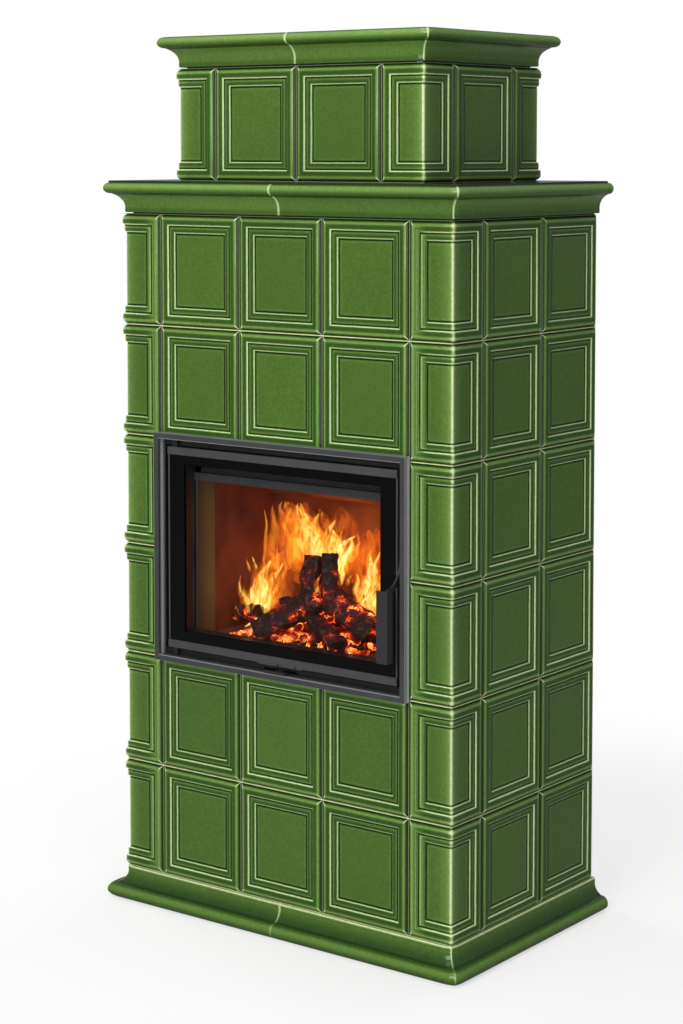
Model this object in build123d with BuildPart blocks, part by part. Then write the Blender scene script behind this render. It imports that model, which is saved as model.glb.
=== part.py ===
"""Stove clad in glazed stove tiles, with a glass-fronted steel firebox. Millimetres, +Z up.

The origin lies on the floor under the middle of the whole stove. The door looks towards -Y.
"Depth" is measured backwards from the face of the front tiles, "out" forwards from a tile face.
"""

from build123d import *
from math import cos, hypot, sin, atan
import os

os.makedirs("parts", exist_ok=True)

# ---- tile module: every tile is laid on a grid of this pitch, joint included ----
TILE_W = 220.0
TILE_H = 242.0
CORNER_LEG = 110.0
JOINT = 2.0
TILE_DEPTH = 60.0
FACE_T = 16.0
RIM_T = 17.0
ROLL_R = 6.0
ARRIS_R = 2.5
BAND_1 = 21.0
BAND_2 = 40.0
STEP_1 = 5.0
STEP_2 = 8.0
GROUT_INSET = 4.5
GROUT_DEPTH = 22.0

# ---- tiled body ----
COURSES = 6
FRONT_FIELDS = 3
SIDE_FIELDS = 2
OPENING_FIRST = 2
OPENING_COURSES = 2
TOP_FRONT_FIELDS = 2
TOP_SIDE_FIELDS = 1

# ---- mouldings ----
PLINTH_H = 68.0
PLINTH_OUT = 34.0
PLINTH_ROLL_R = 14.5
PLINTH_LIP_H = 5.0
CORNICE_H = 68.0
CORNICE_OUT = 36.0
CORNICE_ROLL_R = 12.0
CORNICE_FOOT_H = 9.0
MOULDING_INSET = 2.0
MOULDING_LEDGE = 2.0
COVE_SAG = 6.0
MOULDING_TAIL = 5.0
SLAB_T = 4.0
SLAB_OUT = 20.0
CROWN_SLAB_IN = 52.0

# ---- facing frame round the door ----
FRAME_LAP_SIDE = 5.0
FRAME_LAP_LOW = 3.0
FRAME_LAP_HIGH = 12.0
FRAME_FACE = 13.0
FRAME_PROUD = 17.0
FRAME_LEG_T = 2.0

# ---- door ----
DOOR_GAP_X = 16.0
DOOR_GAP_Z = 17.0
DOOR_PROUD = 4.0
RAIL_H = 16.5
RAIL_T = 11.0
TRIM_W = 3.5
TRIM_PROUD = 2.0
GLASS_T = 4.0
GLASS_CLEAR = 0.3
SEAL_W = 12.0
SEAL_INSET = 1.0
STILE_T = 20.0
STILE_INSET = 2.0
STILE_W = 44.0
HINGE_REBATE_W = 12.0
HINGE_REBATE_T = 11.0
APERTURE_LOW = 39.0
APERTURE_HIGH = 37.0
HINGE_INSET = 20.0
HINGE_DEPTH = 1.5
HINGE_PIN_R = 3.0
HINGE_PIN_L = 12.0
HINGE_BLOCK = 12.0
HINGE_COVER = 2.0
BEARING_GAP = 0.3
RUN_GAP = 0.05
RAIL_SCREWS_X = (0.0, 46.0)
RAIL_SCREW_R = 2.2
RAIL_SCREW_UP = 1.0
RAIL_TAB_X = (-55.0, 62.0)
RAIL_TAB_H = 2.5

# ---- surround, sill and their screws ----
SURROUND_T = 4.0
SURROUND_DEPTH = 4.0
TOP_BAR_H = 14.0
SILL_H = 13.5
SCREW_R = 2.6
SCREW_HEAD_H = 1.8
TOP_SCREWS_MID = (-86.0, 120.0)
TOP_SCREW_FROM_HINGE = 95.0
SILL_SCREWS_FROM_HINGE = (28.0, 42.0)
SCREW_FROM_DOOR_EDGE = 46.0
SILL_STRIP_X = 222.0
SILL_STRIP_L = 60.0
SILL_STRIP_H = 4.0

# ---- handle and latch ----
PLATE_T = 4.0
PLATE_GAP = 5.0
GRIP_OUT = 50.0
GRIP_FRONT_W = 27.0
GRIP_SIDE_D = 20.5
GRIP_H = 147.0
GRIP_EDGE = 2.0
ARM_DROP = 59.0
PIVOT_DEPTH = 15.0
PIVOT_BELOW_TOP = 202.0
PIVOT_R = 4.0
HUB_R = 8.5
COLLAR_R = 7.5
PIN_HEAD_R = 6.0
ARM_RISE = 26.0
ARM_ROOT_H = 51.0
ARM_ROOT_OUT = 5.0
ARM_WAIST = (20.0, 3.0)
ARM_HEEL = 7.0
TAIL_L = 15.0
TAIL_HALF_H = 6.0
ROLLER_R = 6.0
ROLLER_BACK = 9.0
ROLLER_PIN_R = 2.5
HEAD_T = 1.6

# ---- firebox ----
BOX_FRONT_DEPTH = 34.0
STEEL_T = 4.0
CHEEK_PROUD = 5.0
LINING_T = 36.0
BACK_LINING_T = 30.0
HEARTH_DEPTH = 266.0
CHEEK_DEPTH = 58.0
FLOOR_LINING_T = 30.0
FLOOR_BELOW_DOOR = 7.0
BOX_ABOVE_DOOR = 9.0
BAFFLE_T = 20.0
BAFFLE_FRONT_DEPTH = 90.0
BAFFLE_BELOW_APERTURE = 35.0
BAFFLE_SLOPE = 0.3
DEFLECTOR_DROP = 37.0
DEFLECTOR_BAR_H = 17.0
DEFLECTOR_FLANGE = 14.0
DEFLECTOR_T = 3.0
DEFLECTOR_END_GAP = 1.0
DEFLECTOR_UP = 2.0
GRATE_L = 300.0
GRATE_W = 160.0
GRATE_T = 15.0
GRATE_GAP = 2.0
GRATE_SLOTS = 13
GRATE_SLOT_W = 9.0
GRATE_RIM = 14.0
ASH_H = 72.0
ASH_T = 3.0
ASH_PAN_H = 42.0
ASH_PAN_GAP = 7.0
LOG_R = 38.0
LOG_L = 330.0
LOG_GAP = 0.3
LOG_BACK = 42.0
LOG_SHIFT = 14.0

# ---- air slide ----
AIR_TRAVEL = 35.0
TAB_W = 58.0
TAB_OUT = 18.0
TAB_L = 12.0
SHANK_W = 16.0
AIR_T = 3.0
AIR_PLATE_W = 120.0
AIR_PLATE_L = 40.0
AIR_GAP = 0.3
AIR_BELOW_FLOOR = 0.6
AIR_SLOT_GAP = 1.0

# ---- flue, back and support ----
FLUE_R = 76.0
FLUE_T = 2.5
FLUE_BEND_R = 110.0
FLUE_RISE = 50.0
FLUE_CENTRE_DEPTH = 200.0
FLUE_GAP = 2.0
FLUE_SEAT_GAP = 0.2
PANEL_T = 12.0
INSULATION_T = 30.0
INSULATION_W = 680.0
INSULATION_LOW = 100.0
INSULATION_BELOW_TOP = 70.0
LEG_T = 30.0
LEG_INSET = 5.0

# ---- derived: body ----
BODY_W = 2 * CORNER_LEG + FRONT_FIELDS * TILE_W
BODY_D = CORNER_LEG + SIDE_FIELDS * TILE_W
TOP_W = 2 * CORNER_LEG + TOP_FRONT_FIELDS * TILE_W
TOP_D = 2 * CORNER_LEG + TOP_SIDE_FIELDS * TILE_W
REACH = max(PLINTH_OUT, CORNICE_OUT - MOULDING_INSET)
FRONT_Y = (max(REACH, GRIP_OUT) - BODY_D - MOULDING_TAIL) / 2
BACK_Y = FRONT_Y + BODY_D
TOP_FRONT_Y = FRONT_Y + (BODY_D - TOP_D) / 2
TOP_BACK_Y = TOP_FRONT_Y + TOP_D
BODY_TOP = PLINTH_H + COURSES * TILE_H
SHOULDER_Z = BODY_TOP + CORNICE_H
TOP_Z = SHOULDER_Z + SLAB_T
CROWN_Z = TOP_Z + TILE_H
CROWN_TOP = CROWN_Z + CORNICE_H
SIDE_X = BODY_W / 2
TOP_SIDE_X = TOP_W / 2

# ---- derived: opening, frame, door ----
OPEN_Z0 = PLINTH_H + OPENING_FIRST * TILE_H
OPEN_Z1 = OPEN_Z0 + OPENING_COURSES * TILE_H
FRAME_Z0 = OPEN_Z0 - FRAME_LAP_LOW
FRAME_Z1 = OPEN_Z1 + FRAME_LAP_HIGH
IN_X = FRONT_FIELDS * TILE_W / 2 + FRAME_LAP_SIDE - FRAME_FACE
IN_Z0 = FRAME_Z0 + FRAME_FACE
IN_Z1 = FRAME_Z1 - FRAME_FACE
DOOR_X = IN_X - DOOR_GAP_X
DOOR_Z0 = IN_Z0 + DOOR_GAP_Z
DOOR_Z1 = IN_Z1 - DOOR_GAP_Z
STILE_FRONT = RAIL_T - DOOR_PROUD
STILE_BACK = STILE_FRONT + STILE_T
APERTURE_Z0 = DOOR_Z0 + APERTURE_LOW
APERTURE_Z1 = DOOR_Z1 - APERTURE_HIGH
APERTURE_X = DOOR_X - STILE_W
HINGE_X = HINGE_INSET - DOOR_X
SURROUND_IN_X = IN_X - SURROUND_T
EDGE_SCREW_X = DOOR_X - SCREW_FROM_DOOR_EDGE
TOP_SCREWS_X = (HINGE_X + TOP_SCREW_FROM_HINGE, *TOP_SCREWS_MID, EDGE_SCREW_X)
SILL_SCREWS_X = (*[HINGE_X + d for d in SILL_SCREWS_FROM_HINGE], EDGE_SCREW_X)
SILL_TOP = IN_Z0 + SILL_H
TOP_BAR_Z = IN_Z1 - TOP_BAR_H

# ---- derived: handle and latch ----
PLATE_X0 = DOOR_X + PLATE_GAP
PLATE_X1 = PLATE_X0 + PLATE_T
PIVOT_Z = DOOR_Z1 - PIVOT_BELOW_TOP
GRIP_TOP = PIVOT_Z + ARM_RISE - ARM_DROP - PLATE_T
ROLLER_Z = PIVOT_Z + TAIL_HALF_H + BEARING_GAP + ROLLER_R
ROLLER_DEPTH = PIVOT_DEPTH + ROLLER_BACK

# ---- derived: firebox ----
BOX_IN = BOX_FRONT_DEPTH + STEEL_T
FLOOR_Z = DOOR_Z0 - FLOOR_BELOW_DOOR
HEARTH_Z = FLOOR_Z + FLOOR_LINING_T
LINING_BACK = BOX_FRONT_DEPTH + HEARTH_DEPTH
BOX_BACK = LINING_BACK + BACK_LINING_T
FIREBOX_X = APERTURE_X - CHEEK_PROUD
BOX_SIDE_X = FIREBOX_X + LINING_T
BOX_TOP = DOOR_Z1 + BOX_ABOVE_DOOR
BAFFLE_FRONT_Z = APERTURE_Z1 - BAFFLE_BELOW_APERTURE
CHEEK_BACK = BOX_IN + CHEEK_DEPTH
GRATE_DEPTH = (BOX_IN + LINING_BACK) / 2
ASH_Z0 = FLOOR_Z - ASH_H
GRATE_Z0 = HEARTH_Z - GRATE_T
AIR_Z1 = FLOOR_Z - STEEL_T - AIR_BELOW_FLOOR
AIR_Z0 = AIR_Z1 - AIR_T
AIR_PLATE_DEPTH = BOX_IN + AIR_SLOT_GAP
FLUE_Z = BOX_TOP + FLUE_RISE + FLUE_BEND_R

FRONT, BACK, LEFT, RIGHT = (0, -1, 0), (0, 1, 0), (-1, 0, 0), (1, 0, 0)


def at(depth):
    """The Y of a depth behind the face of the front tiles."""
    return FRONT_Y + depth


def finish(builder, name):
    """Label a finished piece and write it under its name."""
    builder.part.label = name
    export_step(builder.part, f"parts/{name}.step")


def block(x, depth, z):
    """Add a box that spans x, depth and z, each a (low, high) pair, to the part in hand."""
    size = (x[1] - x[0], depth[1] - depth[0], z[1] - z[0])
    with Locations(((x[0] + x[1]) / 2, at((depth[0] + depth[1]) / 2), (z[0] + z[1]) / 2)):
        return Box(*size)


def cut(x, depth, z):
    """Cut a box that spans x, depth and z, each a (low, high) pair, out of the part in hand."""
    size = (x[1] - x[0], depth[1] - depth[0], z[1] - z[0])
    with Locations(((x[0] + x[1]) / 2, at((depth[0] + depth[1]) / 2), (z[0] + z[1]) / 2)):
        return Box(*size, mode=Mode.SUBTRACT)


def ring(outer, inner, depth):
    """A flat ring round an opening. outer and inner are (x, low z, high z), even about X = 0."""
    with BuildPart() as part:
        block((-outer[0], outer[0]), depth, outer[1:])
        cut((-inner[0], inner[0]), depth, inner[1:])
    return part.part


# ==== tiles ====


def field_tile():
    """A tile whose face lies on Y = 0 and looks towards -Y, over the middle of its lower edge."""
    w, h = TILE_W - JOINT, TILE_H - JOINT
    low = (Align.CENTER, Align.MIN, Align.MIN)
    with BuildPart() as tile:
        Box(w, TILE_DEPTH, h, align=low)
        with Locations((0, FACE_T, RIM_T)):
            Box(w - 2 * RIM_T, TILE_DEPTH, h - 2 * RIM_T, align=low, mode=Mode.SUBTRACT)
        fillet(tile.faces().sort_by(Axis.Y)[0].edges(), ROLL_R)
        for band, step in ((BAND_1, STEP_1), (BAND_2, STEP_2)):
            with Locations((0, 0, band)):
                Box(w - 2 * band, step, h - 2 * band, align=low, mode=Mode.SUBTRACT)
    return tile.part


def corner_tile():
    """A corner tile whose arris stands on the Z axis, with legs along +X and +Y."""
    leg, h = CORNER_LEG - JOINT / 2, TILE_H - JOINT
    low = (Align.MIN, Align.MIN, Align.MIN)
    with BuildPart() as tile:
        Box(leg, TILE_DEPTH, h, align=low)
        Box(TILE_DEPTH, leg, h, align=low)
        with Locations((FACE_T, FACE_T, RIM_T)):
            Box(leg - FACE_T - RIM_T, TILE_DEPTH, h - 2 * RIM_T, align=low, mode=Mode.SUBTRACT)
            Box(TILE_DEPTH, leg - FACE_T - RIM_T, h - 2 * RIM_T, align=low, mode=Mode.SUBTRACT)
        outer = tile.edges().filter_by(lambda e: min(e.center().X, e.center().Y) < 0.01)
        fillet(outer.filter_by(Axis.Z, reverse=True), ROLL_R)
        for band, step in ((BAND_1, STEP_1), (BAND_2, STEP_2)):
            with Locations((0, 0, band)):
                Box(leg - band, step, h - 2 * band, align=low, mode=Mode.SUBTRACT)
                Box(step, leg - band, h - 2 * band, align=low, mode=Mode.SUBTRACT)
        arris = tile.edges().filter_by(Axis.Z).filter_by(
            lambda e: abs(e.center().X - STEP_2) < 0.01 and abs(e.center().Y - STEP_2) < 0.01
        )
        fillet(arris, ARRIS_R)
    return tile.part


FIELD = field_tile()
CORNER = {(-1, -1): corner_tile()}
CORNER[(1, -1)] = mirror(CORNER[(-1, -1)], about=Plane.YZ)
CORNER[(-1, 1)] = mirror(CORNER[(-1, -1)], about=Plane.XZ)
CORNER[(1, 1)] = mirror(CORNER[(1, -1)], about=Plane.XZ)
TURN = {FRONT: 0, RIGHT: 90, BACK: 180, LEFT: -90}


def course_z(course):
    """The underside of a course of tiles, counted from the plinth."""
    return PLINTH_H + course * TILE_H + JOINT / 2


def centres(count, start):
    """The middles of a row of field tiles that begins at start."""
    return [start + (i + 0.5) * TILE_W for i in range(count)]


def tiles(name, tile, places):
    """Write one node of like tiles, one at each place."""
    with BuildPart() as group:
        with Locations(*places):
            add(tile)
    finish(group, name)


def front_places(courses, y=FRONT_Y):
    """Places of the field tiles of some front courses."""
    row = centres(FRONT_FIELDS, -FRONT_FIELDS * TILE_W / 2)
    return [Location((x, y, course_z(c)), (0, 0, TURN[FRONT])) for c in courses for x in row]


LOW = range(OPENING_FIRST)
HIGH = range(OPENING_FIRST + OPENING_COURSES, COURSES)
tiles("front_tiles_low", FIELD, front_places(LOW))
tiles("front_tiles_high", FIELD, front_places(HIGH))
for side, name in ((-1, "left"), (1, "right")):
    corner_at = [Location((side * SIDE_X, FRONT_Y, course_z(c))) for c in range(COURSES)]
    tiles(f"corner_tiles_{name}", CORNER[(side, -1)], corner_at)
    turn = (0, 0, TURN[(side, 0, 0)])
    field_at = [
        Location((side * SIDE_X, y, course_z(c)), turn)
        for c in range(COURSES)
        for y in centres(SIDE_FIELDS, FRONT_Y + CORNER_LEG)
    ]
    tiles(f"side_tiles_{name}", FIELD, field_at)

top_row = centres(TOP_FRONT_FIELDS, -TOP_FRONT_FIELDS * TILE_W / 2)
top_column = centres(TOP_SIDE_FIELDS, TOP_FRONT_Y + CORNER_LEG)
TOP_TILE_Z = TOP_Z + JOINT / 2
top_faces = ((TOP_FRONT_Y, TURN[FRONT]), (TOP_BACK_Y, TURN[BACK]))
tiles(
    "upper_face_tiles",
    FIELD,
    [Location((x, y, TOP_TILE_Z), (0, 0, turn)) for y, turn in top_faces for x in top_row],
)
tiles(
    "upper_side_tiles",
    FIELD,
    [
        Location((side[0] * TOP_SIDE_X, y, TOP_TILE_Z), (0, 0, TURN[side]))
        for side in (LEFT, RIGHT)
        for y in top_column
    ],
)
with BuildPart() as upper_corner_tiles:
    for (sx, sy), tile in CORNER.items():
        with Locations((sx * TOP_SIDE_X, TOP_FRONT_Y if sy < 0 else TOP_BACK_Y, TOP_TILE_Z)):
            add(tile)
finish(upper_corner_tiles, "upper_corner_tiles")

# ==== mortar in the joints ====


def bar(face, along, z, out_y, side_x):
    """A mortar bar on a face: along the wall from one coordinate to the other, between two heights."""
    near, far = GROUT_INSET, GROUT_INSET + GROUT_DEPTH
    if face in (FRONT, BACK):
        sign = -face[1]
        ends = sorted((out_y + sign * near - FRONT_Y, out_y + sign * far - FRONT_Y))
        block(along, ends, z)
    else:
        block(sorted((face[0] * (side_x - near), face[0] * (side_x - far))), along, z)


with BuildPart() as tile_mortar:
    inset_x = SIDE_X - GROUT_INSET
    for level in range(COURSES + 1):
        middle = PLINTH_H + level * TILE_H
        z = (max(middle - JOINT / 2, PLINTH_H), min(middle + JOINT / 2, BODY_TOP))
        open_low, open_high = OPENING_FIRST, OPENING_FIRST + OPENING_COURSES
        if open_low <= level <= open_high:
            for side in (-1, 1):
                ends = sorted((side * (SIDE_X - CORNER_LEG - JOINT / 2), side * inset_x))
                bar(FRONT, ends, z, FRONT_Y, SIDE_X)
        else:
            bar(FRONT, (-inset_x, inset_x), z, FRONT_Y, SIDE_X)
        for face in (LEFT, RIGHT):
            bar(face, (GROUT_INSET, BODY_D), z, FRONT_Y, SIDE_X)
    for course in range(COURSES):
        z = (course_z(course), course_z(course) + TILE_H - JOINT)
        if course in LOW or course in HIGH:
            for i in range(FRONT_FIELDS + 1):
                x = -FRONT_FIELDS * TILE_W / 2 + i * TILE_W
                bar(FRONT, (x - JOINT / 2, x + JOINT / 2), z, FRONT_Y, SIDE_X)
        for i in range(SIDE_FIELDS):
            d = CORNER_LEG + i * TILE_W
            for face in (LEFT, RIGHT):
                bar(face, (d - JOINT / 2, d + JOINT / 2), z, FRONT_Y, SIDE_X)
    top_x = TOP_SIDE_X - GROUT_INSET
    top_d = (TOP_FRONT_Y - FRONT_Y + GROUT_INSET, TOP_BACK_Y - FRONT_Y - GROUT_INSET)
    for z in ((TOP_Z, TOP_TILE_Z), (CROWN_Z - JOINT / 2, CROWN_Z)):
        for face, y in ((FRONT, TOP_FRONT_Y), (BACK, TOP_BACK_Y)):
            bar(face, (-top_x, top_x), z, y, TOP_SIDE_X)
        for face in (LEFT, RIGHT):
            bar(face, top_d, z, TOP_FRONT_Y, TOP_SIDE_X)
    z = (TOP_TILE_Z, CROWN_Z - JOINT / 2)
    for i in range(TOP_FRONT_FIELDS + 1):
        x = -TOP_FRONT_FIELDS * TILE_W / 2 + i * TILE_W
        for face, y in ((FRONT, TOP_FRONT_Y), (BACK, TOP_BACK_Y)):
            bar(face, (x - JOINT / 2, x + JOINT / 2), z, y, TOP_SIDE_X)
    for i in range(TOP_SIDE_FIELDS + 1):
        d = TOP_FRONT_Y - FRONT_Y + CORNER_LEG + i * TILE_W
        for face in (LEFT, RIGHT):
            bar(face, (d - JOINT / 2, d + JOINT / 2), z, TOP_FRONT_Y, TOP_SIDE_X)
finish(tile_mortar, "tile_mortar")

# ==== mouldings ====


def cove(start, end, side):
    """A hollow curve between two points; side is +1 or -1 for the side that it bows to."""
    dx, dy = end[0] - start[0], end[1] - start[1]
    scale = side * COVE_SAG / hypot(dx, dy)
    middle = ((start[0] + end[0]) / 2 - dy * scale, (start[1] + end[1]) / 2 + dx * scale)
    return ThreePointArc(start, middle, end)


def plinth_section():
    """The plinth's section: X is out from the tile face, Y is up from the floor."""
    roll = PLINTH_OUT - PLINTH_ROLL_R
    lip = (0, PLINTH_H - PLINTH_LIP_H)
    with BuildSketch() as section:
        with BuildLine():
            Line((-TILE_DEPTH, 0), (roll, 0))
            ThreePointArc((roll, 0), (PLINTH_OUT, PLINTH_ROLL_R), (roll, 2 * PLINTH_ROLL_R))
            Line((roll, 2 * PLINTH_ROLL_R), (roll - MOULDING_LEDGE, 2 * PLINTH_ROLL_R))
            cove((roll - MOULDING_LEDGE, 2 * PLINTH_ROLL_R), lip, 1)
            Polyline(lip, (0, PLINTH_H), (-TILE_DEPTH, PLINTH_H), (-TILE_DEPTH, 0))
        make_face()
    return section.sketch


def cornice_section():
    """The cornice's section: X is out from the tile face, Y is up from its underside."""
    roll = CORNICE_OUT - MOULDING_INSET - CORNICE_ROLL_R
    under = CORNICE_H - 2 * CORNICE_ROLL_R
    foot = (-MOULDING_INSET, CORNICE_FOOT_H)
    spring = (MOULDING_INSET, CORNICE_FOOT_H)
    with BuildSketch() as section:
        with BuildLine():
            Polyline((-TILE_DEPTH, 0), (-MOULDING_INSET, 0), foot, spring)
            cove(spring, (roll - MOULDING_LEDGE, under), 1)
            Line((roll - MOULDING_LEDGE, under), (roll, under))
            ThreePointArc((roll, under), (roll + CORNICE_ROLL_R, under + CORNICE_ROLL_R), (roll, CORNICE_H))
            Polyline((roll, CORNICE_H), (-TILE_DEPTH, CORNICE_H), (-TILE_DEPTH, 0))
        make_face()
    return section.sketch


def run_along(section, outward, start, length, mitres):
    """A straight length of moulding. It goes to the left of outward, and each mitre trims it."""
    outward = Vector(*outward)
    with BuildPart() as run:
        with BuildSketch(Plane(origin=start, x_dir=outward, z_dir=outward.cross(Vector(0, 0, 1)))):
            add(section)
        extrude(amount=length)
        for corner, normal in mitres:
            split(bisect_by=Plane(origin=corner, z_dir=normal), keep=Keep.TOP)
    return run.part


def front_run(section, side, x, y, z, out):
    """Half of a front moulding, from the middle joint to the mitre at one corner."""
    start = (-JOINT / 2 if side < 0 else x + out, y, z)
    mitre = ((side * x, y, z), (-side, -1, 0))
    return run_along(section, FRONT, start, x + out - JOINT / 2, [mitre])


def side_run(section, side, x, y0, y1, z, out, rear_mitre=False):
    """A side moulding, from the mitre at the front corner to the back."""
    outward = LEFT if side < 0 else RIGHT
    length = y1 - y0 + out
    start = (side * x, y0 - out if side < 0 else y1, z)
    mitres = [((side * x, y0, z), (side, 1, 0))]
    if rear_mitre:
        length += out
        start = (side * x, y0 - out if side < 0 else y1 + out, z)
        mitres.append(((side * x, y1, z), (side, -1, 0)))
    return run_along(section, outward, start, length, mitres)


PLINTH = plinth_section()
CORNICE = cornice_section()
for side, name in ((-1, "left"), (1, "right")):
    tail_y = BACK_Y + MOULDING_TAIL
    pieces = {
        f"plinth_front_{name}": front_run(PLINTH, side, SIDE_X, FRONT_Y, 0, REACH),
        f"plinth_side_{name}": side_run(PLINTH, side, SIDE_X, FRONT_Y, tail_y, 0, REACH),
        f"cornice_front_{name}": front_run(CORNICE, side, SIDE_X, FRONT_Y, BODY_TOP, REACH),
        f"cornice_side_{name}": side_run(CORNICE, side, SIDE_X, FRONT_Y, tail_y, BODY_TOP, REACH),
        f"crown_front_{name}": front_run(CORNICE, side, TOP_SIDE_X, TOP_FRONT_Y, CROWN_Z, REACH),
        f"crown_side_{name}": side_run(
            CORNICE, side, TOP_SIDE_X, TOP_FRONT_Y, TOP_BACK_Y, CROWN_Z, REACH, rear_mitre=True
        ),
    }
    for node, piece in pieces.items():
        with BuildPart() as moulding:
            add(piece)
        finish(moulding, node)

with BuildPart() as crown_rear:
    add(
        run_along(
            CORNICE,
            BACK,
            (-TOP_SIDE_X - REACH, TOP_BACK_Y, CROWN_Z),
            2 * (TOP_SIDE_X + REACH),
            [((s * TOP_SIDE_X, TOP_BACK_Y, CROWN_Z), (-s, 1, 0)) for s in (-1, 1)],
        )
    )
finish(crown_rear, "crown_rear")


def slabs(name, x, y0, y1, z):
    """Two dark slabs that meet in the middle and close the top of a box."""
    with BuildPart() as pair:
        for side in (-1, 1):
            block(sorted((side * JOINT / 2, side * x)), (y0 - FRONT_Y, y1 - FRONT_Y), (z, z + SLAB_T))
    finish(pair, name)


slabs("shoulder_slabs", SIDE_X + SLAB_OUT, FRONT_Y - SLAB_OUT, BACK_Y + MOULDING_TAIL, SHOULDER_Z)
crown_slab_y = (TOP_FRONT_Y + CROWN_SLAB_IN, TOP_BACK_Y - CROWN_SLAB_IN)
slabs("crown_slabs", TOP_SIDE_X - CROWN_SLAB_IN, *crown_slab_y, CROWN_TOP)

# ==== facing frame, surround and sill ====


def frame_bar(length):
    """One bar of the facing frame, its inner edge on Y = 0, its face towards -Z, mitred ends."""
    half = length / 2
    with BuildPart() as bar_part:
        with BuildSketch(Plane.XY.offset(-FRAME_PROUD)):
            Polygon(
                (-half, 0), (half, 0), (half + FRAME_FACE, FRAME_FACE), (-half - FRAME_FACE, FRAME_FACE),
                align=None,
            )
        extrude(amount=FRAME_PROUD)
        with BuildSketch():
            Polygon(
                (-half, 0), (half, 0), (half + FRAME_LEG_T, FRAME_LEG_T), (-half - FRAME_LEG_T, FRAME_LEG_T),
                align=None,
            )
        extrude(amount=BOX_FRONT_DEPTH)
    return bar_part.part


IN_W, IN_H = 2 * IN_X, IN_Z1 - IN_Z0
IN_MID = (IN_Z0 + IN_Z1) / 2
with BuildPart() as facing_frame:
    for length, x, z, up in (
        (IN_W, 0, IN_Z1, (0, 0, 1)),
        (IN_W, 0, IN_Z0, (0, 0, -1)),
        (IN_H, -IN_X, IN_MID, (-1, 0, 0)),
        (IN_H, IN_X, IN_MID, (1, 0, 0)),
    ):
        along = Vector(*up).cross(Vector(0, 1, 0))
        plane = Plane(origin=(x, FRONT_Y, z), x_dir=along, z_dir=(0, 1, 0))
        add(plane * frame_bar(length), clean=False)
finish(facing_frame, "facing_frame")

with BuildPart() as door_surround:
    depth = (SURROUND_DEPTH, BOX_FRONT_DEPTH)
    block((-IN_X, IN_X), depth, (TOP_BAR_Z, IN_Z1))
    for side in (-1, 1):
        block(sorted((side * SURROUND_IN_X, side * IN_X)), depth, (SILL_TOP, TOP_BAR_Z))
finish(door_surround, "door_surround")

with BuildPart() as front_sill:
    block((-IN_X, IN_X), depth, (IN_Z0, SILL_TOP))
    reach = SHANK_W / 2 + AIR_TRAVEL + AIR_SLOT_GAP
    cut((-reach, reach), depth, (AIR_Z0 - AIR_SLOT_GAP, AIR_Z1 + AIR_SLOT_GAP))
    block(
        (SILL_STRIP_X - SILL_STRIP_L / 2, SILL_STRIP_X + SILL_STRIP_L / 2),
        (SURROUND_DEPTH - SCREW_HEAD_H, SURROUND_DEPTH),
        (SILL_TOP - SILL_STRIP_H, SILL_TOP),
    )
finish(front_sill, "front_sill")


def screw_head(x, depth, z, radius):
    """Add a round screw head that stands out of a face at a depth."""
    with Locations(Location((x, at(depth - SCREW_HEAD_H / 2), z), (90, 0, 0))):
        return Cylinder(radius, SCREW_HEAD_H)


with BuildPart() as surround_screws:
    for x in TOP_SCREWS_X:
        screw_head(x, SURROUND_DEPTH, (TOP_BAR_Z + IN_Z1) / 2, SCREW_R)
    for x in SILL_SCREWS_X:
        screw_head(x, SURROUND_DEPTH, (IN_Z0 + SILL_TOP) / 2, SCREW_R)
finish(surround_screws, "surround_screws")

# ==== hinges ====


def upright(x, depth, z, radius, **options):
    """A vertical round bar between two heights."""
    with Locations((x, at(depth), (z[0] + z[1]) / 2)):
        return Cylinder(radius, z[1] - z[0], **options)


LOW_BLOCK = (IN_Z0, DOOR_Z0 - BEARING_GAP)
HIGH_BLOCK = (DOOR_Z1 + BEARING_GAP, IN_Z1)
with BuildPart() as hinge_pins:
    for z in (LOW_BLOCK, HIGH_BLOCK):
        block(
            (HINGE_X - HINGE_BLOCK / 2, HINGE_X + HINGE_BLOCK / 2),
            (HINGE_DEPTH - HINGE_PIN_R - HINGE_COVER, SURROUND_DEPTH),
            z,
        )
    upright(HINGE_X, HINGE_DEPTH, (LOW_BLOCK[1], DOOR_Z0 + HINGE_PIN_L), HINGE_PIN_R)
    upright(HINGE_X, HINGE_DEPTH, (DOOR_Z1 - HINGE_PIN_L, HIGH_BLOCK[0]), HINGE_PIN_R)
finish(hinge_pins, "hinge_pins")

# ==== door ====

with BuildPart() as door_rails:
    for z, bore in (
        ((DOOR_Z0, DOOR_Z0 + RAIL_H), (DOOR_Z0, DOOR_Z0 + HINGE_PIN_L + BEARING_GAP)),
        ((DOOR_Z1 - RAIL_H, DOOR_Z1), (DOOR_Z1 - HINGE_PIN_L - BEARING_GAP, DOOR_Z1)),
    ):
        block((-DOOR_X, DOOR_X), (-DOOR_PROUD, STILE_FRONT), z)
        upright(HINGE_X, HINGE_DEPTH, bore, HINGE_PIN_R + RUN_GAP, mode=Mode.SUBTRACT)
    block(RAIL_TAB_X, (-DOOR_PROUD, STILE_FRONT), (DOOR_Z0 - RAIL_TAB_H, DOOR_Z0))
finish(door_rails, "door_rails")

GLASS_Z = (DOOR_Z0 + RAIL_H + GLASS_CLEAR, DOOR_Z1 - RAIL_H - GLASS_CLEAR)
GLASS_X = DOOR_X - TRIM_W - GLASS_CLEAR
with BuildPart() as door_glass:
    block((-GLASS_X, GLASS_X), (0, GLASS_T), GLASS_Z)
finish(door_glass, "door_glass")

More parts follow.
